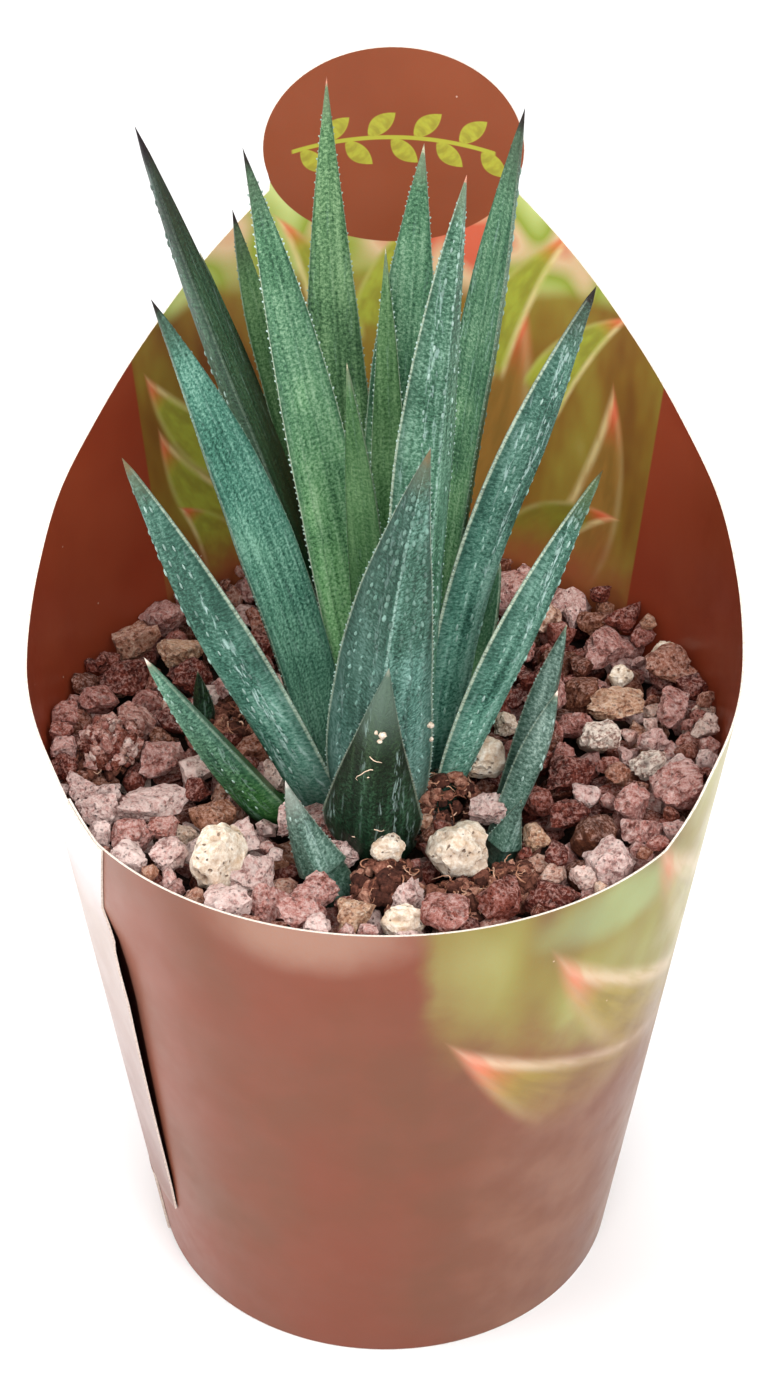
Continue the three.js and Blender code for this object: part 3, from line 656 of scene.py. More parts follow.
# Prominent stones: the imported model's node, place, full sizes along X, Y and Z, turn, kind
NODE_STONES = [
    ("cream_pitted_pumice", -24.4, -35.0, 8.2, 11.4, 11.4, -18, CREAM),
    ("pink_flat_lava", -35.5, -18, 12.4, 9, 5, 20, PINK),
    ("pink_rim_lava", -43, -21, 6.2, 6.4, 5, 50, PINK),
    ("dark_lava_clump", -42.5, -5, 10, 11, 8, 30, CLUMP),
    ("tan_back_lava", -33, 21, 8.2, 8, 6, 10, TAN),
    ("pink_front_left_lava", -32, -31.5, 6, 5.8, 5, 15, PINK),
    ("round_pumice", 10.5, -31, 9.3, 9.2, 8, 0, CREAM),
    ("white_right_pumice", 15, -10.5, 7.2, 7, 7.2, 40, CREAM),
    ("small_white_pumice", 0.3, -33.2, 5.2, 4.2, 4.4, 10, CREAM),
    ("white_front_pumice", 2.5, -47.5, 6.6, 5.6, 5, 0, CREAM),
    ("orange_front_lava", -4.5, -46.5, 6.2, 6, 5.5, 25, TAN),
    ("mauve_front_lava", 3.5, -41, 5.8, 5.4, 5, 60, PINK),
    ("mauve_left_front_lava", -12, -45, 7.2, 6.2, 5, 10, MAUVE),
    ("pink_upright_lava", -14, -25.5, 4.2, 4.2, 7, 0, PINK),
    ("dark_front_lava", 24, -41.5, 8.4, 8, 6, 35, RED),
    ("pale_angular_lava", 32.5, -34, 8.6, 8.2, 7, 45, PINK),
    ("large_mauve_lava", 44, -17.5, 7.8, 9.2, 8, 10, MAUVE),
    ("tan_flat_lava", 36.5, 7, 9.8, 7.2, 4, 5, TAN),
    ("white_rough_pumice", 33.5, -2, 7.2, 5.8, 5, 20, PALE),
    ("white_speckled_pumice", 40.5, -9, 6.2, 5.7, 5, 0, PALE),
    ("brown_back_lava", 35.5, 24, 9.2, 8.2, 7, 30, MAUVE),
    ("mauve_back_lava", 45.5, 4.5, 5.6, 7.4, 6, 0, MAUVE),
]
# Stones that lie this much higher, on others
LIFTED = {"small_white_pumice": 2.6, "pink_upright_lava": 1.2, "white_right_pumice": 1.6}
# Other stones with a place of their own
LOOSE_STONES = [
    (-46, -15, 5.1, 5, 4.5, 0, PINK), (-35.5, -7, 8.6, 7.5, 6, 40, MAUVE),
    (-28.5, -15.5, 4.3, 4.2, 4, 0, RED), (-42, 14.5, 8.2, 8, 6, 10, RED),
    (-36.5, 32.5, 8.4, 8, 7, 70, MAUVE), (-10.5, -40, 7.4, 5.4, 4.5, 20, MAUVE),
    (-17, -42.5, 5.8, 5.6, 5, 50, MAUVE), (-6.5, -30.5, 5.8, 4.6, 4, 15, PINK),
    (15.5, -21, 7.2, 6.4, 5.5, 30, PINK), (22.5, -27, 4.3, 4.6, 4, 0, TAN),
    (-18.5, -36, 6.4, 9, 6, -30, PINK), (-22, -27.5, 7, 6, 5, 25, PINK),
    (45.5, 21.5, 5, 5.5, 4.5, 0, PALE), (38, 15.5, 4.2, 4, 4, 10, CREAM),
    (19, 2.5, 3.8, 4.6, 4, 0, PALE), (-31.5, 15.5, 7.6, 6.5, 6, 40, RED),
    (-28, 30, 7, 6.6, 6, 15, TAN), (-38, -27, 7.5, 6.4, 5, 60, MAUVE),
    (27.5, -21, 6.8, 6.2, 5, 15, RED), (38, -26, 6.6, 6, 5.5, 40, MAUVE),
    (28.5, -11, 7.6, 6.8, 5.5, 75, RED), (25.5, 9, 7.2, 7, 5.5, 20, MAUVE),
]
PEAT_HEAPS = [  # place, radius and height over the grit
    (9.2, -16.5, 4.8, 4.6), (0.2, -37.0, 5.4, 3.6), (10.5, -41.5, 5.2, 2.2),
    (-43.5, -4.5, 5.0, 2.6), (18.5, -36.5, 4.6, 1.4), (-25, 4, 5.0, 0.6),
]
CRUMB_SHARE, FIBRE_SHARE = 12, 11  # how many crumbs and fibres a heap has for each mm of its radius
CLUMP_CRUMBS = 150  # crumbs all round the clump; it has only those that don't face down


def make_ball(level):
    grid = bmesh.new()
    bmesh.ops.create_icosphere(grid, subdivisions=level, radius=1.0)
    points = np.array([v.co for v in grid.verts])
    faces = [[v.index for v in f.verts] for f in grid.faces]
    grid.free()
    return unit(points), faces


BALLS = {level: make_ball(level) for level in (COARSE, MEDIUM, FINE)}


def ripple(points, scale, seed, octaves):
    """Fractal noise at points, about -1 to 1, creased where it would cross zero."""
    total = np.zeros(len(points))
    for octave in range(octaves):
        grow, shift, fade = scale * 2**octave, seed + 17.3 * octave, 0.62**octave
        wave = [noise.noise(Vector((x * grow + shift, y * grow, z * grow))) for x, y, z in points]
        total += fade * (0.7 - 2 * np.abs(wave))
    return total


def spread_out(rng, count):
    """Directions spread evenly over a ball, then shaken a little."""
    steps = np.arange(count) + 0.5
    tilt = np.arccos(1 - 2 * steps / count)
    turn = steps * math.pi * (3 - math.sqrt(5)) + 2 * math.pi * rng.random()
    even = np.stack([np.sin(tilt) * np.cos(turn), np.sin(tilt) * np.sin(turn), np.cos(tilt)], 1)
    return unit(even + 0.33 * rng.normal(size=(count, 3)))


def stone_shape(rng, level, kind):
    """Points of an angular, pitted stone of about unit radius, and how deep in a pit each is."""
    facets, near, sharp, pits, sink, rough = FORMS.get(kind, LAVA_FORM)
    ball = BALLS[level][0]
    planes = spread_out(rng, facets)
    reach = rng.uniform(near, 1.0, facets)
    facing = np.maximum(ball @ planes.T, 0.03)
    radius = ((reach / facing) ** -sharp).sum(1) ** (-1 / sharp)
    radius = radius * (1 + rough * ripple(ball, 2.0, rng.uniform(0, 50), 5))
    holes = unit(rng.normal(size=(pits, 3)))
    wide = rng.uniform(0.05, WIDEST_PIT, pits)
    angle = np.arccos(np.clip(ball @ holes.T, -1, 1))
    depth = np.minimum(1, (np.exp(-((angle / wide) ** 2)) * (wide / WIDEST_PIT)).sum(1))
    return ball * (radius - sink * depth)[:, None], depth


def stone(rng, size, turn, level, kind, middle):
    """Points and faces of a stone of this size at a place, and how deep in a pit each point is."""
    shape, pit = stone_shape(rng, level, kind)
    shape = shape @ np.linalg.qr(rng.normal(size=(3, 3)))[0]
    reach = (shape.max(0) - shape.min(0)) / 2
    shape = (shape - (shape.max(0) + shape.min(0)) / 2) / reach * (np.array(size) / 2)
    c, s = math.cos(math.radians(turn)), math.sin(math.radians(turn))
    shape = shape @ np.array([[c, s, 0], [-s, c, 0], [0, 0, 1]])
    return inside_card(shape + np.array(middle)), BALLS[level][1], pit


def inside_card(points):
    """Points pressed in to stay clear of the card's inner side."""
    limit = SLEEVE_RADIUS + SLEEVE_TAPER * points[:, 2] - CARD - CARD_GAP
    press = np.minimum(1, limit / np.maximum(1, np.hypot(points[:, 0], points[:, 1])))
    return points * np.stack([press, press, np.ones(len(points))], 1)


class Heap:
    """A height map of the grit that stones come to rest on."""

    def __init__(self):
        count = int(2 * (WALL + 1) / CELL)
        self.line = (np.arange(count) + 0.5) * CELL - count * CELL / 2
        self.x, self.y = np.meshgrid(self.line, self.line, indexing="ij")
        self.height = np.full((count, count), HEAP_FLOOR)

    def cap(self, x, y, wide, long, high, turn):
        """Window and half height of an ellipsoid over it, and where it is."""
        reach, start = max(wide, long), self.line[0]
        window = tuple(
            slice(max(0, int((at - reach - start) / CELL)), int((at + reach - start) / CELL) + 2)
            for at in (x, y)
        )
        dx, dy = self.x[window] - x, self.y[window] - y
        across = (dx * math.cos(turn) + dy * math.sin(turn)) / wide
        along = (dy * math.cos(turn) - dx * math.sin(turn)) / long
        rest = 1 - across**2 - along**2
        return window, high * np.sqrt(np.maximum(rest, 0)), rest > 0

    def rest_height(self, x, y, half, turn):
        window, cap, under = self.cap(x, y, half[0] * 0.8, half[1] * 0.8, half[2], turn)
        return float(np.max((self.height[window] + cap)[under])) if under.any() else NO_REST

    def cover(self, x, y, z, half, turn):
        window, cap, under = self.cap(x, y, *half, turn)
        self.height[window] = np.maximum(self.height[window], np.where(under, z + cap, -NO_REST))


def leaf_posts():
    """Circles, near the grit's level, that leaves and stems stand in."""
    posts = []
    for leaf in LEAVES:
        surface = LeafSurface(leaf, 0.0)
        near = (surface.place[:, 2] > GRIT_TOP - 4) & (surface.place[:, 2] < GRIT_TOP + 7)
        posts += [(x, y, 0.75 * half) for (x, y, _), half in zip(surface.place[near], surface.half[near])]
    return np.array(posts)


def lava_material():
    n = Nodes("lava_rough")
    speckle = n.noise(n.place, 1.8, 5.0, 0.75)
    lumps = n.noise(n.place, 0.65, 3.0, 0.65, 0.4)
    shade = n.value("tone") + ((speckle - 0.5) * 1.4 + (lumps - 0.5) * 0.9)
    red = n.ramp(
        shade, (0.0, (82, 33, 26)), (0.2, (130, 64, 50)), (0.46, (172, 112, 102)),
        (0.72, (206, 162, 154)), (1.0, (240, 214, 206)),
    )
    tan = n.ramp(
        shade, (0.1, (96, 58, 38)), (0.5, (168, 118, 84)), (0.8, (208, 170, 134)), (1.0, (236, 214, 186)),
    )
    colour = n.mix(n.value("warm") * 0.8, red, tan)
    # round pores, darkest where they crowd together
    pores = n.step(n.cells(n.place, 1.05) + n.noise(n.place, 1.1, 2.0) * 0.5, 0.52, 0.36)
    hollow = n.step(lumps, 0.45, 0.33)
    dark = n.math("MAXIMUM", pores * 0.5, n.math("MAXIMUM", hollow * 0.5, n.value("pit") * 0.65))
    colour = n.mix(dark, colour, (48, 22, 18))
    # pale dust on what faces up
    up = n.up(n.node("NewGeometry", output="Normal"))
    dust = n.step(up, 0.1, 0.9) * n.step(speckle, 0.44, 0.62) * (1 - dark)
    colour = n.mix(dust * 0.4, colour, (204, 176, 168))
    return n.finish(colour, 0.95, n.bump((lumps, 1.0), (speckle, 0.5), (1 - pores, 0.25)), gloss=0.15)


def pumice_material():
    n = Nodes("pumice_pitted")
    grain = n.noise(n.place, 1.5, 5.0, 0.7)
    stain = n.noise(n.place, 0.3, 3.0, 0.6)
    colour = n.ramp(grain, (0.28, (182, 152, 126)), (0.46, (222, 202, 180)), (0.64, (244, 234, 220)))
    colour = n.mix(n.step(stain, 0.5, 0.72, 0, 0.6), colour, (204, 164, 124))
    pores = n.step(n.cells(n.place, 0.75) + n.noise(n.place, 1.3, 2.0) * 0.6, 0.5, 0.38)
    colour = n.mix(pores * 0.8, colour, (112, 82, 62))
    colour = n.mix(n.value("pit") * 0.7, colour, (140, 104, 78))
    return n.finish(colour, 0.9, n.bump((grain, 0.35), (1 - pores, 0.35)), gloss=0.2)


def pale_material():
    n = Nodes("lava_pale_speckled")
    grain = n.noise(n.place, 1.4, 5.0, 0.75)
    shade = grain * 0.85 + n.noise(n.place, 0.6, 3.0) * 0.35
    colour = n.ramp(shade, (0.44, (96, 62, 54)), (0.54, (184, 150, 136)), (0.62, (238, 222, 208)))
    colour = n.mix(n.value("pit") * 0.75, colour, (84, 54, 46))
    return n.finish(colour, 0.95, n.bump((grain, 0.6)), gloss=0.2)


def peat_material():
    n = Nodes("peat_crumbs")
    grain = n.noise(n.place, 1.4, 4.0, 0.7)
    colour = n.ramp(
        grain * 0.7 + n.value("tone") * 0.4,
        (0.25, (34, 17, 13)), (0.48, (82, 46, 36)), (0.66, (134, 84, 68)), (0.85, (198, 150, 128)),
    )
    return n.finish(colour, 0.95, n.bump((grain, 0.5)), gloss=0.2)


def fibre_material():
    n = Nodes("peat_fibres")
    streak = n.noise(n.place, 0.9, 3.0, 0.6)
    colour = n.ramp(
        streak * 0.5 + n.value("tone") * 0.6,
        (0.2, (72, 38, 28)), (0.5, (136, 84, 62)), (0.75, (190, 140, 112)), (0.95, (232, 202, 176)),
    )
    return n.finish(colour, 0.8, n.bump((streak, 0.1)), gloss=0.3)


def make_grit(materials):
    rng = np.random.default_rng(GRIT_SEED)
    heap = Heap()
    posts = leaf_posts()
    kinds = {kind: Parts() for kind in ("lava_left", "lava_right", "lava_back", "pumice", "low")}
    # prominent stones keep their places free
    kept = [row[1:] for row in NODE_STONES] + LOOSE_STONES
    kept = np.array([(x, y, max(wide, long) / 2) for x, y, wide, long, *_ in kept])
    heaps = np.array(PEAT_HEAPS)

    def off(circles, x, y):
        return np.hypot(circles[:, 0] - x, circles[:, 1] - y)

    def blocked(x, y, reach):
        return math.hypot(x, y) + reach > WALL or (off(posts, x, y) < posts[:, 2] + 0.55 * reach).any()

    def taken(x, y, reach):
        near = off(kept, x, y) < 0.8 * (kept[:, 2] + reach)
        return near.any() or (off(heaps, x, y) < heaps[:, 2] + 0.3 * reach).any()

    def drop(size, tries, limit, under=False):
        """A stone comes to rest at the lowest of a few free places, if that is low enough."""
        half = np.array(size) / 2
        best = None
        wide = 0.93 * max(half[:2])
        for _ in range(tries):
            by_wall = rng.random() < WALL_SHARE
            radius = (WALL - wide) * (1.0 if by_wall else math.sqrt(rng.random()))
            turn = 2 * math.pi * rng.random()
            x, y = radius * math.cos(turn), radius * math.sin(turn)
            spin = math.pi * rng.random()
            if blocked(x, y, wide) or (not under and taken(x, y, wide)):
                continue
            rest = heap.rest_height(x, y, half, spin)
            if best is None or rest < best[0]:
                best = (rest, x, y, spin)
        if best is None:
            return
        rest, x, y, spin = best
        # the grit lies higher by the wall, most of all on the right
        if rest > limit + (1.4 + 1.2 * (x > 0)) * smooth((math.hypot(x, y) - 34) / 14):
            return
        z = rest - SINK * size[2]
        heap.cover(x, y, z, half, spin)
        # darker and redder in a band to the right of the plant, and darker behind it on the left, which is
        # painted shade
        red = math.exp(-(((x - 24) / 15) ** 2)) + 0.5 * smooth((y + 5) / 15) * (x < 0)
        draw = float(np.clip(rng.normal(0.56 - 0.34 * red, 0.26), 0.05, 0.98))
        # few stones are in between: most are dark or pale
        tone = 0.35 * draw + 0.65 * smooth(draw)
        level = COARSE if under or max(size) < 3.6 else MEDIUM
        name = "low" if under else "lava_back" if y > 5 else "lava_left" if x < 0 else "lava_right"
        made = stone(rng, size, math.degrees(spin), level, MAUVE, (x, y, z))
        kinds[name].add(*made, tone=tone, warm=max(0.0, rng.uniform(-1.2, 0.9)))

    for _ in range(LOW_COUNT):
        drop(rng.uniform(3.5, 7, 3) * (1, 1, 0.8), 8, LOW_LIMIT, True)
    place_stones(rng, heap, kinds, materials)
    for _ in range(STONE_COUNT):
        size = 4.0 + 6.0 * rng.beta(1.2, 1.9)
        drop(size * rng.uniform(0.8, 1.15, 3) * (1, 1, 0.8), 12, STONE_LIMIT)
    for _ in range(SMALL_COUNT):
        drop(rng.uniform(2.0, 4.0) * rng.uniform(0.85, 1.15, 3), 8, SMALL_LIMIT)
    for name, parts in kinds.items():
        if name == "pumice":
            made = parts.make("grit_" + name, materials["pumice"], "pumice")
        else:
            made = parts.make("grit_" + name, materials["lava"], "lava_grit")
        made.data.set_sharp_from_angle(angle=STONE_CREASE)
        if name == "low":
            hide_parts("grit_bed")


def place_stones(rng, heap, kinds, materials):
    """Stones with a place of their own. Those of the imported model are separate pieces."""
    for node, x, y, *size, turn, kind in NODE_STONES + [(None, *row) for row in LOOSE_STONES]:
        z = GRIT_TOP + (0.2 if node else 0.15) * size[2] + LIFTED.get(node, 0.0)
        heap.cover(x, y, z, [side / 2 for side in size], math.radians(turn))
        home = "pumice" if kind in PALE_LOOKS else "lava_right" if x > 0 else "lava_left"
        parts = Parts() if node else kinds[home]
        if kind == CLUMP:
            clump_of_crumbs(parts, rng, size, (x, y, z))
        else:
            made = stone(rng, size, turn, FINE, kind, (x, y, z))
            parts.add(*made, tone=LAVA_TONE.get(kind, 0.5), warm=float(kind == TAN))
        if node:
            look = materials[PALE_LOOKS.get(kind, "lava")]
            made = parts.make(node + "_stone", look, STONE_SLOTS[kind])
            made.data.set_sharp_from_angle(angle=STONE_CREASE)
            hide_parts(node)


def clump_of_crumbs(parts, rng, size, middle):
    """Small broken pieces over a core, as one clump."""
    half = np.array(size) / 2
    parts.add(*stone(rng, 1.7 * half, 0, FINE, RED, middle), tone=0.15, warm=0.0)
    for way in spread_out(rng, CLUMP_CRUMBS):
        if way[2] > -0.3:
            crumb = rng.uniform(0.9, 2.6) * rng.uniform(0.7, 1.2, 3)
            made = stone(rng, crumb, 0, COARSE, RED, np.array(middle) + 0.86 * half * way)
            parts.add(*made, tone=rng.uniform(0.1, 0.9), warm=0.3 * rng.random())


def on_heap(rng, heap, lift):
    """A place on a heap of peat, this far over it."""
    x, y, radius, high = heap
    out = radius * math.sqrt(rng.random())
    turn = 2 * math.pi * rng.random()
    level = high * (1 - (out / radius) ** 2)
    return np.array((x + out * math.cos(turn), y + out * math.sin(turn), GRIT_TOP + lift + level))


def make_peat(materials):
    rng = np.random.default_rng(PEAT_SEED)
    crumbs, fibres = Parts(), Parts()
    for heap in PEAT_HEAPS:
        for _ in range(int(CRUMB_SHARE * heap[2])):
            middle = on_heap(rng, heap, -1.2)
            size = rng.uniform(1.3, 3.0) * rng.uniform(0.7, 1.2, 3)
            crumbs.add(*stone(rng, size, 0, MEDIUM, RED, middle)[:2], tone=rng.random())
        for _ in range(int(FIBRE_SHARE * heap[2])):
            add_fibre(fibres, rng, on_heap(rng, heap, -0.4), rng.uniform(1.2, 4.5), rng.uniform(0.07, 0.17))
    crumbs.make("peat_heaps", materials["peat"], "peat")
    fibres.make("peat_fibre_threads", materials["fibre"], "peat")


def add_fibre(parts, rng, start, length, radius, climb=None, tone=None):
    """A thin curling thread from a point."""
    steps, sides = 9, 5
    heading = 2 * math.pi * rng.random()
    climb = rng.uniform(-0.1, 0.5) if climb is None else climb
    curl = rng.uniform(-0.5, 0.5)
    line = [start]
    for _ in range(steps):
        heading += curl + 0.5 * rng.normal()
        climb += 0.25 * rng.normal() - 0.08
        step = np.array([math.cos(heading), math.sin(heading), climb])
        line.append(line[-1] + unit(step) * length / steps)
    line = np.array(line)
    run = unit(np.gradient(line, axis=0))
    side = unit(np.cross(run, (0.31, 0.17, 0.94)))
    up = np.cross(run, side)
    turn = np.arange(sides) * 2 * math.pi / sides
    taper = radius * (1 - 0.75 * np.linspace(0, 1, len(line)) ** 2)
    ring = np.cos(turn)[None, :, None] * side[:, None] + np.sin(turn)[None, :, None] * up[:, None]
    points = (line[:, None] + ring * taper[:, None, None]).reshape(-1, 3)
    points = inside_card(np.vstack([points, line[0], line[-1]]))
    parts.add(points, loft_faces(len(line), sides), tone=rng.random() if tone is None else tone)


# ---- card sleeve ----

SLEEVE_RADIUS = 39.0
SLEEVE_TAPER = 0.14
CARD = 0.36
FRONT_HEIGHT = 100.0
BACK_ANGLE = 88.75
BACK = BACK_ANGLE - 360
# Top edge on either side of the back: degrees from the back and height
SLEEVE_EDGE = [
    (18.6, 163), (30, 153.5), (42, 143.5), (55, 134), (67, 127), (79, 119.5),
    (92, 113.5), (113, 108.5), (120, 104), (128, FRONT_HEIGHT),
]
# The header's oval: its middle height, half sizes in degrees and in mm, and where its neck is cut
HEADER_MIDDLE, HEADER_HALF, HEADER_HALF_HEIGHT, HEADER_NECK = 169.0, 19.5, 15.5, 107.0
HEADER_ROW = 161.5  # height at which the columns start to spread into the oval
# Closing tab: the free edge of the outer layer as height and angle
TAB_EDGE = [
    (0, -163), (15, -163), (16, -147), (24, -145.4), (72, -141.4), (80.5, -143), (85, -146.5),
    (FRONT_HEIGHT, -141),
]
LAP_END = -172.0
LAP_START = -498.0  # where the inner layer goes in under the tab
SHEET_END = -525.0
SHEET_STEP = 14.0  # how much sooner the inner layer ends higher up
LAP_RISE = 0.42
LAP_BLEND = 26.0
TAB_LIFT = 1.5  # how far the tab's free edge stands off, at most
TAB_CURL = 9.0  # degrees over which it does
LOW_ROWS = [0, 4, 8, 12, 15, 16, 18, 22, 28, 36, 44, 52, 60, 68, 75, 79, 80.5, 82, 85]
HIGH_ROWS = 26
NECK_ROWS = HIGH_ROWS // 2
COLUMN_STEP = 1.25
NECK_GAP = 0.3
HEADER_COLUMNS, LAP_COLUMNS = 56, 24
OUTER, INNER, CUT = range(3)


def spline(table, count):
    """Catmull-Rom curve through points of a table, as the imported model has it."""
    table = np.array(table, float)
    padded = np.vstack([table[0], table, table[-1]])
    spots = np.linspace(0, len(table) - 1, count)
    low = np.minimum(spots.astype(int), len(table) - 2)
    t = (spots - low)[:, None]
    a, b, c, d = (padded[low + k] for k in range(4))
    v0, v1 = (c - a) / 2, (d - b) / 2
    return (2 * b - 2 * c + v0 + v1) * t**3 + (3 * c - 3 * b - 2 * v0 - v1) * t**2 + v0 * t + b


EDGE_LINE = spline(SLEEVE_EDGE, 120)


def edge_height(degrees):
    turn = abs((degrees - BACK_ANGLE + 180) % 360 - 180)
    return float(np.interp(turn, *EDGE_LINE.T))


def card_radius(degrees, z):
    """Radius of the card's outer side. Past the lap it is the inner layer; the tab's edge stands off."""
    rise = LAP_RISE * (1 - smooth((LAP_END - degrees) / LAP_BLEND))
    curl = max(0.0, 1 - (tab_angle(z) - degrees) / TAB_CURL)
    lift = TAB_LIFT * smooth((z - 12) / 70) ** 0.5 * (1 - smooth((z - 76) / 9))
    return SLEEVE_RADIUS + SLEEVE_TAPER * z + rise + lift * curl**2


def tab_angle(z):
    return float(np.interp(z, *zip(*TAB_EDGE)))


def inner_end(z):
    return SHEET_END + SHEET_STEP * float(smooth((z - 18) / 12))


def rows_to(top, count):
    """Heights of a column's points: the low rows, then equal steps."""
    return LOW_ROWS + list(np.linspace(LOW_ROWS[-1], top, count + 1)[1:])


def columns_between(start, end, steps):
    """Columns in equal steps from one angle to another, each a number or a function of height."""
    start, end = (way if callable(way) else lambda z, way=way: way for way in (start, end))
    columns = []
    for k in range(steps + 1):

        def angle(z):
            return start(z) + (end(z) - start(z)) * (k / steps)

        top = edge_height(angle(FRONT_HEIGHT))
        columns.append([(angle(z), z) for z in rows_to(top, HIGH_ROWS)])
    return columns


def header_column(across):
    turn = math.radians(across * HEADER_NECK)
    foot = BACK - HEADER_HALF * math.sin(math.radians(HEADER_NECK)) * across
    reach = BACK - HEADER_HALF * math.sin(turn) - foot
    high = HEADER_MIDDLE + HEADER_HALF_HEIGHT * math.cos(turn) - HEADER_ROW
    parts = [k / (HIGH_ROWS - NECK_ROWS) for k in range(1, HIGH_ROWS - NECK_ROWS + 1)]
    oval = [(foot + reach * part, HEADER_ROW + high * part) for part in parts]
    return [(foot, z) for z in rows_to(HEADER_ROW, NECK_ROWS)] + oval


def sleeve_columns():
    neck = HEADER_HALF * math.sin(math.radians(HEADER_NECK)) + NECK_GAP

    def stretch(start, end):
        return columns_between(start, end, round((start - end) / COLUMN_STEP))

    return (
        columns_between(tab_angle, LAP_END, LAP_COLUMNS)
        + stretch(LAP_END - COLUMN_STEP, BACK + neck)
        + [header_column(2 * k / HEADER_COLUMNS - 1) for k in range(HEADER_COLUMNS + 1)]
        + stretch(BACK - neck, LAP_START + COLUMN_STEP)
        + columns_between(LAP_START, inner_end, LAP_COLUMNS)
    )


def make_sleeve():
    columns = sleeve_columns()
    rows, last = len(columns[0]), len(columns) - 1
    spots = [spot for column in columns for spot in column]
    outer = [polar(card_radius(degrees, z), degrees, z) for degrees, z in spots]
    inner = [polar(card_radius(degrees, z) - CARD, degrees, z) for degrees, z in spots]
    base = len(outer)
    faces, slots = [], []

    def quad(slot, *corners):
        faces.append(corners)
        slots.append(slot)

    for i in range(last):
        for j in range(rows - 1):
            a, b = i * rows + j, (i + 1) * rows + j
            quad(OUTER, b, a, a + 1, b + 1)
            quad(INNER, base + a, base + b, base + b + 1, base + a + 1)
        a, b = i * rows, (i + 1) * rows
        quad(CUT, a, b, base + b, base + a)
        a, b = a + rows - 1, b + rows - 1
        quad(CUT, b, a, base + a, base + b)
    for j in range(rows - 1):
        quad(CUT, j + 1, j, base + j, base + j + 1)
        a = last * rows + j
        quad(CUT, a, a + 1, base + a + 1, base + a)
    materials = [outside_print(), inside_print(), cut_edge_material()]
    # under: how many degrees the tab reaches over a point of the inner layer; the outside print paints
    # shadow where the tab covers it
    values = {
        "turn": [degrees for degrees, z in spots] * 2,
        "under": [tab_angle(z) - 360 - degrees for degrees, z in spots] * 2,
    }
    made = make_object("card_sleeve_sheet", outer + inner, faces, materials, "printed_card", values)
    made.data.polygons.foreach_set("material_index", slots)
    made.data.set_sharp_from_angle(angle=math.radians(50))
    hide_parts("card_sleeve")


# ---- print on the card: soft pointed leaves of a made-up plant ----

# In both prints u is millimetres along the card and v is the height. Soft leaves have a foot, a tip, a
# width, a bend, how soft their outline is, and a colour.
OUTSIDE_START, OUTSIDE_SCALE = 450.0, 0.80
OUTSIDE_RIM, OUTSIDE_POINT, OUTSIDE_OLIVE = (214, 192, 164), (206, 96, 74), (146, 128, 54)
OUTSIDE_BLADES = [
    ((76, 66), (40, 100), 16, 4, 2.4, (150, 146, 84)), ((66, 52), (24, 88), 19, 5, 1.9, OUTSIDE_OLIVE),
    ((58, 44), (10, 74), 21, 5, 1.5, OUTSIDE_OLIVE), ((128, 66), (98, 108), 17, -4, 1.6, (140, 144, 70)),
    ((104, 52), (132, 92), 18, -5, 1.4, OUTSIDE_OLIVE), ((150, 96), (130, 134), 16, 4, 1.4, (150, 150, 84)),
    ((166, 58), (150, 104), 18, 5, 1.5, (140, 144, 70)), ((164, 64), (194, 94), 16, -4, 1.4, OUTSIDE_OLIVE),
]
INSIDE_START, INSIDE_SCALE = 271.25, 0.95
INSIDE_RIM, INSIDE_POINT = (222, 206, 150), (214, 76, 56)
OLIVE, LIME, SAND = (118, 116, 38), (154, 162, 60), (142, 106, 50)
INSIDE_BLADES = [
    ((4, 96), (20, 146), 17, -4, 1.2, SAND), ((-14, 100), (-26, 142), 13, 4, 1.0, OLIVE),
    ((31, 98), (37, 134), 12, -3, 0.8, SAND), ((14, 132), (27, 158), 8, 2, 0.6, LIME),
    ((-8, 134), (-17, 158), 8, -2, 0.6, LIME), ((-24, 104), (-40, 127), 10, 3, 0.6, LIME),
    ((20, 96), (41, 113), 11, 4, 0.6, OLIVE), ((0, 92), (12, 119), 11, -3, 0.7, SAND),
    ((-30, 98), (-38, 113), 9, -2, 0.5, LIME), ((24, 128), (38, 147), 8, 2, 0.5, LIME),
    ((-26, 118), (-41, 137), 9, 2, 0.6, LIME), ((-4, 138), (3, 157), 6, 1, 0.5, LIME),
]
SPRIG_LIME = (164, 164, 60)
SPRIG_LIFT, SPRIG_SAG, SPRIG_REACH, SPRIG_PACE = 1.2, 0.008, 14.4, 3.2


def blade(n, u, v, foot, tip, wide, bend, soft, body, rim, point, under, oval=False):
    """A soft leaf from foot to tip over a colour. Its rim is pale, most of all on the hollow side, and
    its point is of another colour."""
    du, dv = tip[0] - foot[0], tip[1] - foot[1]
    length = math.hypot(du, dv)
    cu, cv = du / length, dv / length
    su, sv = u - foot[0], v - foot[1]
    s = (su * cu + sv * cv) * (1 / length)
    inside = s * (1 - s)
    d = sv * cu + su * -cv + inside * (-4 * bend)
    width = inside * (2 * wide) if oval else (1 - s * s) * (wide / 2)
    depth = width - abs(d)
    mask = n.step(depth, -soft, soft) * n.step(s, 0.0, 0.12)
    patchy = n.noise(n.join(s * 5.0, d * 0.5), 1.0, 2.0, 0.5)
    hollow_side = n.step(d * math.copysign(1.0, bend), 0.5 * soft, -0.5 * soft, 0.3, 1.0)
    pale = n.step(depth, 2.1 * soft, 0.1 * soft) * n.step(patchy, 0.3, 0.6, 0.4, 0.85) * hollow_side
    colour = n.mix(n.step(s, 0.72, 0.97), body, point)
    colour = n.mix(n.step(patchy, 0.35, 0.7, 0.0, 0.4), colour, (104, 84, 36))
    return n.mix(mask, under, n.mix(pale, colour, rim))


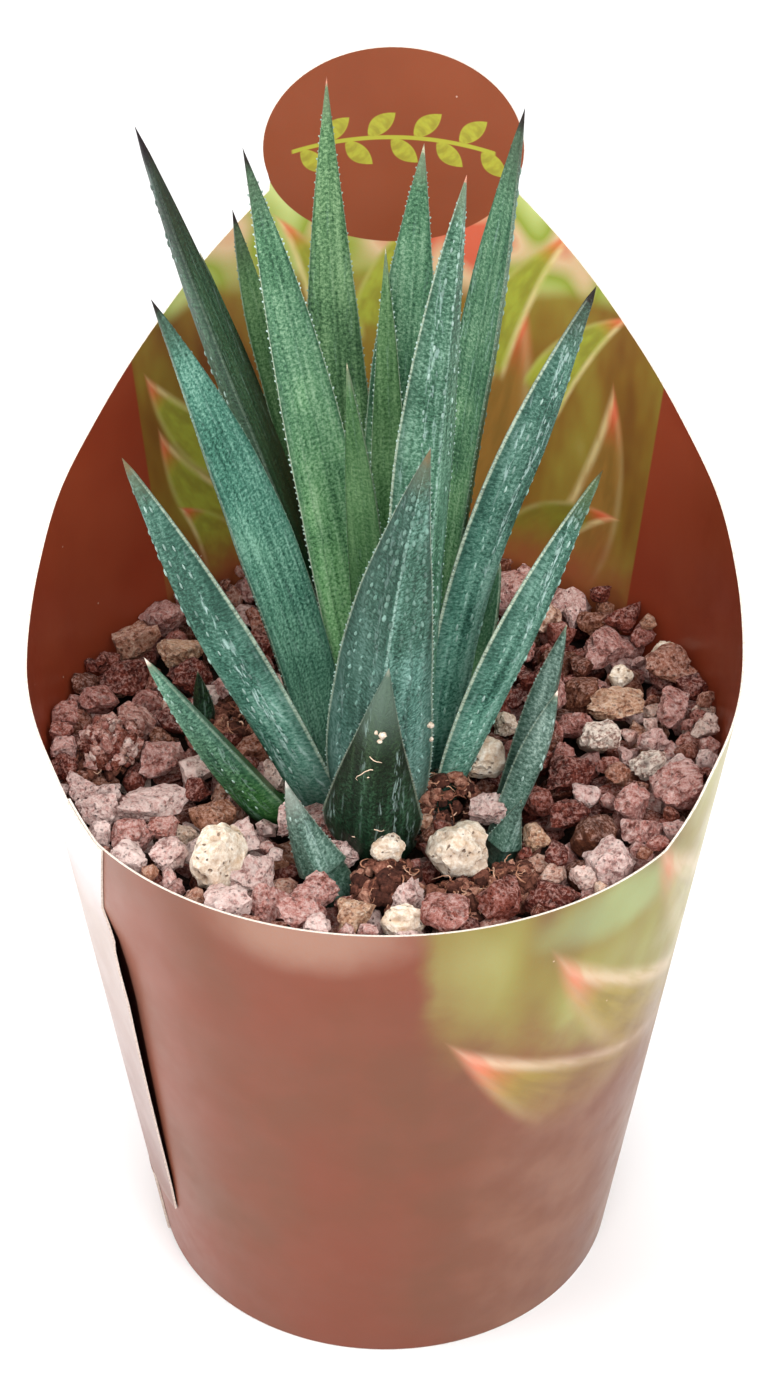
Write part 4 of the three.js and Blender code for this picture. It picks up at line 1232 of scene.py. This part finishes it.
def card_gloss(n, colour):
    """Print grain, dust and the faint unevenness of a laminated sheet."""
    grain = n.noise(n.place, 2.4, 3.0, 0.7)
    colour = n.mix(n.step(grain, 0.3, 0.7, 0.0, 0.3), colour, (206, 170, 148), "SOFT_LIGHT")
    colour = n.mix(n.step(n.cells(n.place, 0.13), 0.026, 0.016, 0, 0.5), colour, (226, 196, 178))
    hair = n.cells(n.scaled(n.place, (1, 1, 0.35)), 0.045)
    colour = n.mix(n.step(hair, 0.010, 0.006, 0, 0.7), colour, (50, 26, 20))
    rough = n.step(n.noise(n.place, 0.11, 3.0, 0.6), 0.3, 0.7, 0.3, 0.42)
    wave = n.noise(n.place, 0.05, 2.0)
    return n.finish(colour, rough, n.bump((wave, 0.5), (grain, 0.012)), gloss=0.22)


def glow(n, u, v, centre, size, uneven):
    """A soft oval spot, 1 in its middle, with an uneven edge."""
    across, up = (u - centre[0]) * (1 / size[0]), (v - centre[1]) * (1 / size[1])
    return n.step(across * across + (up * up + uneven * 0.8), 1.5, -0.1)


def outside_print():
    n = Nodes("card_print_outside")
    turn, v = n.value("turn"), n.up(n.place)
    u = (turn + OUTSIDE_START) * OUTSIDE_SCALE
    cloud = n.noise(n.scaled(n.place, (1, 1, 0.7)), 0.035, 2.0)
    fine = n.noise(n.place, 0.12, 3.0)
    colour = n.mix(n.step(cloud, 0.3, 0.7), (117, 61, 42), (106, 65, 45))
    colour = n.mix(n.step(fine, 0.4, 0.7, 0, 0.3), colour, (124, 68, 50))
    uneven = fine - 0.5
    # a soft pale patch near the top edge, left of the middle: a painted highlight
    colour = n.mix(glow(n, u, v, (-10, 100), (14, 9), uneven) * 0.9, colour, (154, 118, 102))
    # green haze at the upper right, fading down into the brown
    wobble = uneven * 18.0
    slope = v + n.math("MINIMUM", u * 0.6, 34.0) + wobble
    haze = n.step(slope, 72.0, 98.0) * n.step(u + wobble * 0.2, 3.0, 7.0)
    haze = haze * n.step(u, 218.0, 190.0) * n.step(v, 158.0, 146.0)
    greens = n.ramp(
        n.noise(n.scaled(n.place, (1, 1, 0.5)), 0.07, 1.5, 0.5),
        (0.3, (112, 88, 46)), (0.45, (128, 114, 52)), (0.6, (138, 134, 68)), (0.76, (156, 158, 98)),
    )
    greens = n.mix(n.step(u, 22.0, 5.0, 0.0, 0.7), greens, (126, 106, 56))
    colour = n.mix(haze, colour, greens)
    colour = n.mix(glow(n, u, v, (33, 95), (13, 6), uneven) * 0.5, colour, (152, 178, 128))
    for row in OUTSIDE_BLADES:
        colour = blade(n, u, v, *row, OUTSIDE_RIM, OUTSIDE_POINT, colour)
    # lower down everything sinks back into brown
    sink = n.step(v + wobble * 0.6, 46.0, 74.0)
    low = n.mix(n.step(fine, 0.3, 0.7), (112, 69, 50), (124, 84, 65))
    colour = n.mix(n.step(u, 8.0, 26.0) * (1 - sink), colour, low)
    # pale stretch on the tab and to the left of it
    pale = n.ramp(
        v * 0.01,
        (0.1, (124, 92, 86)), (0.5, (166, 148, 144)), (0.8, (184, 170, 164)), (0.95, (216, 210, 214)),
    )
    colour = n.mix(n.step(turn, -222.0, -196.0) * n.step(v, 4.0, 30.0), colour, pale)
    # painted sheen: paler next to the tab's free edge, and on the far right
    near = n.step(turn, -478.0, -506.0) * n.step(v, 20.0, 100.0, 0.05, 0.3)
    colour = n.mix(near, colour, (180, 142, 132))
    right = n.step(turn, -398.0, -372.0) * n.step(v, 30.0, 95.0, 0.1, 0.6) * n.step(turn, -335.0, -362.0)
    colour = n.mix(right, colour, (206, 196, 168))
    # painted shadow: the strip that the tab covers is dark
    colour = n.mix(n.step(n.value("under"), 0.1, 0.5), colour, (24, 13, 11))
    return card_gloss(n, colour)


def inside_print():
    n = Nodes("card_print_inside")
    u, v = (n.value("turn") + INSIDE_START) * -INSIDE_SCALE, n.up(n.place)
    fine = n.noise(n.place, 0.12, 3.0)
    cloud = n.noise(n.place, 0.05, 2.0)
    patch = n.step(cloud, 0.35, 0.65)
    plain = n.mix(patch, (132, 54, 33), (138, 61, 38))
    ground = n.ramp(
        n.noise(n.scaled(n.place, (1, 1, 0.4)), 0.07, 3.0, 0.6),
        (0.3, (104, 62, 28)), (0.44, (126, 94, 38)), (0.58, (138, 122, 50)), (0.74, (158, 146, 84)),
    )
    bright = n.ramp(
        n.noise(n.scaled(n.place, (1, 1, 0.8)), 0.075, 1.0),
        (0.32, (196, 96, 72)), (0.4, (206, 178, 140)), (0.5, (140, 156, 62)), (0.66, (190, 202, 130)),
    )
    ground = n.mix(n.step(v + (cloud - 0.5) * 10.0, 145.0, 149.0), ground, bright)
    for row in INSIDE_BLADES:
        ground = blade(n, u, v, *row, INSIDE_RIM, INSIDE_POINT, ground)
    sink = n.step(v + (fine - 0.5) * 16.0, 96.0, 112.0)
    ground = n.mix(sink, (140, 78, 48), ground)
    panel = n.step(u, -43.5, -43.0) * n.step(u, 46.5, 46.0)
    colour = n.mix(panel, plain, ground)
    # the oval of the header is plain, with a small sprig of leaves
    across = u * (1 / (INSIDE_SCALE * HEADER_HALF))
    up = (v - HEADER_MIDDLE) * (1 / (HEADER_HALF_HEIGHT + 0.2))
    badge = sprig(n, u, v, n.mix(patch, (126, 66, 42), (132, 70, 45)))
    colour = n.mix(n.step(across * across + up * up, 1.03, 1.01), colour, badge)
    return card_gloss(n, colour)


def sprig(n, u, v, under):
    """A row of small leaves on a thin curved stalk."""
    middle = HEADER_MIDDLE + SPRIG_LIFT
    line = n.step(abs(v - middle + u * u * SPRIG_SAG), 0.42, 0.22)
    line = line * n.step(abs(u), SPRIG_REACH + 0.2, SPRIG_REACH - 0.2)
    colour = n.mix(line, under, SPRIG_LIME)
    for k in range(-4, 5):
        root = SPRIG_PACE * k
        base = middle - SPRIG_SAG * root * root
        side = 1 if k % 2 else -1
        leaf = ((root - 0.4, base), (root + 3.4, base + side * 4.0), 2.7, 0.25 * side, 0.12)
        colour = blade(n, u, v, *leaf, SPRIG_LIME, SPRIG_LIME, SPRIG_LIME, colour, oval=True)
    return colour


def cut_edge_material():
    n = Nodes("card_cut_edge")
    fibre = n.noise(n.place, 2.2, 4.0, 0.7)
    colour = n.ramp(fibre, (0.3, (196, 180, 166)), (0.6, (232, 220, 208)))
    return n.finish(colour, 0.85, n.bump((fibre, 0.08)))


# ---- pot, peat and stems ----

POT_OUTSIDE = [(36.6, 0), (37.4, 0.8), (48.2, 83.5), (49.9, 84), (50.7, 89.4)]
POT_RIM = [(50.2, 90.2), (48.9, 90.2)]
POT_INSIDE = [(48.2, 88), (47.4, 83.6), (36.5, 1.2)]
POT_SEGMENTS = 144
DRAINS, DRAIN_RING, DRAIN_RADIUS, DRAIN_SEGMENTS = 8, 28.0, 3.0, 32


def pot_material():
    n = Nodes("pot_plastic_dark")
    flow = n.noise(n.scaled(n.place, (1, 1, 0.25)), 0.12, 3.0)
    grain = n.noise(n.place, 2.5, 2.0)
    colour = n.ramp(flow, (0.3, (36, 27, 24)), (0.7, (54, 42, 37)))
    return n.finish(colour, n.step(grain, 0.3, 0.7, 0.4, 0.55), n.bump((grain, 0.04)))


def stem_material():
    n = Nodes("stem_fibrous")
    streak = n.noise(n.scaled(n.place, (1, 1, 0.2)), 0.9, 3.0)
    colour = n.ramp(streak, (0.3, (58, 84, 44)), (0.7, (128, 150, 92)))
    return n.finish(colour, 0.8, n.bump((streak, 0.3)))


def soil_material():
    n = Nodes("peat_packed")
    grain = n.noise(n.place, 0.9, 5.0, 0.7)
    colour = n.ramp(grain, (0.3, (30, 18, 12)), (0.55, (62, 38, 26)), (0.75, (112, 76, 50)))
    return n.finish(colour, 0.95, n.bump((grain, 0.6)))


def make_pot():
    """The pot, turned from its outline, with its drain holes cut through the base."""
    outline = POT_OUTSIDE + POT_RIM + POT_INSIDE
    turns = [360 * k / POT_SEGMENTS for k in range(POT_SEGMENTS)]
    points = [polar(radius, turn, z) for radius, z in outline for turn in turns]
    points += [(0, 0, 0), (0, 0, POT_INSIDE[-1][1])]
    faces = loft_faces(len(outline), POT_SEGMENTS)
    pot = make_object("nursery_pot_shell", points, faces, [pot_material()], "pot_plastic")
    cutter = Parts()
    ring = [360 * k / DRAIN_SEGMENTS for k in range(DRAIN_SEGMENTS)]
    for hole in range(DRAINS):
        middle = np.array(polar(DRAIN_RING, 360 * hole / DRAINS, 0))
        shape = [middle + polar(DRAIN_RADIUS, turn, z) for z in (-2, 4) for turn in ring]
        cutter.add(shape + [middle + (0, 0, z) for z in (-2, 4)], loft_faces(2, DRAIN_SEGMENTS))
    tool = make_object("drain_cutter", np.concatenate(cutter.points), cutter.faces, [], "pot_plastic")
    cut = pot.modifiers.new("drains", "BOOLEAN")
    cut.object = tool
    cut.solver = "EXACT"
    bpy.context.view_layer.update()
    graph = bpy.context.evaluated_depsgraph_get()
    mesh = bpy.data.meshes.new_from_object(pot.evaluated_get(graph))
    pot.modifiers.clear()
    pot.data = mesh
    mesh.set_sharp_from_angle(angle=math.radians(35))
    bpy.data.objects.remove(tool)
    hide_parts("nursery_pot")


def dress_frame():
    """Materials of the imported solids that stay."""
    stem, soil = stem_material(), soil_material()
    for node, look in (("rosette_stem", stem), ("side_shoot_neck", stem), ("potting_soil", soil)):
        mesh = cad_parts[node].data
        mesh.materials.clear()
        mesh.materials.append(look)


# ---- floor, light and camera ----

FLOOR_REACH, FLOOR_LEVEL = 4.0, -0.0004  # metres
LENS, SENSOR, NEAREST = 69.83, 36.0, 0.01
EYE, EYE_TILT = (-0.00022, -0.3449, 0.34275), 55.35  # metres and degrees


def make_floor():
    n = Nodes("floor_pale")
    cloud = n.noise(n.place, 0.004, 2.0)
    colour = n.ramp(cloud, (0.3, (246, 245, 245)), (0.7, (250, 249, 249)))
    mesh = bpy.data.meshes.new("floor")
    low, high = -FLOOR_REACH, FLOOR_REACH
    corners = [(x, y, FLOOR_LEVEL) for x, y in ((low, low), (high, low), (high, high), (low, high))]
    mesh.from_pydata(corners, [], [[0, 1, 2, 3]])
    mesh.materials.append(n.finish(colour, 0.9))
    floor = bpy.data.objects.new("floor", mesh)
    scene.collection.objects.link(floor)


def area_light(name, place, aim, size, power):
    light = bpy.data.lights.new(name, "AREA")
    light.shape = "DISK"
    light.size = size
    light.energy = power
    lamp = bpy.data.objects.new(name, light)
    lamp.location = place
    lamp.rotation_euler = (Vector(aim) - Vector(place)).to_track_quat("-Z", "Y").to_euler()
    scene.collection.objects.link(lamp)


def make_light():
    world = bpy.data.worlds.new("studio")
    scene.world = world
    world.use_nodes = True
    sky = world.node_tree.nodes["Background"].inputs
    sky["Color"].default_value = (1, 1, 1, 1)
    sky["Strength"].default_value = 0.6
    area_light("key", (0.42, -0.66, 0.8), (0, 0, 0.1), 0.7, 7.6)
    area_light("front", (-0.1, -0.72, 0.62), (0, 0, 0.1), 0.5, 2.2)
    area_light("fill", (-0.85, -0.2, 0.45), (0, 0, 0.08), 0.7, 5.0)
    area_light("top", (-0.1, 0.25, 1.1), (0, 0, 0.1), 0.7, 5.0)
    scene.view_settings.view_transform = "Standard"


def make_camera():
    camera = bpy.data.cameras.new("camera")
    camera.lens = LENS
    camera.sensor_width = SENSOR
    camera.sensor_fit = "AUTO"
    camera.clip_start = NEAREST
    eye = bpy.data.objects.new("camera", camera)
    eye.location = EYE
    eye.rotation_euler = (math.radians(EYE_TILT), 0, 0)
    scene.collection.objects.link(eye)
    scene.camera = eye


def main():
    make_camera()
    make_light()
    make_floor()
    make_sleeve()
    make_pot()
    dress_frame()
    make_leaves()
    materials = {
        "lava": lava_material(), "pumice": pumice_material(), "pale": pale_material(),
        "peat": peat_material(), "fibre": fibre_material(),
    }
    make_grit(materials)
    make_peat(materials)
    make_litter(materials)


main()
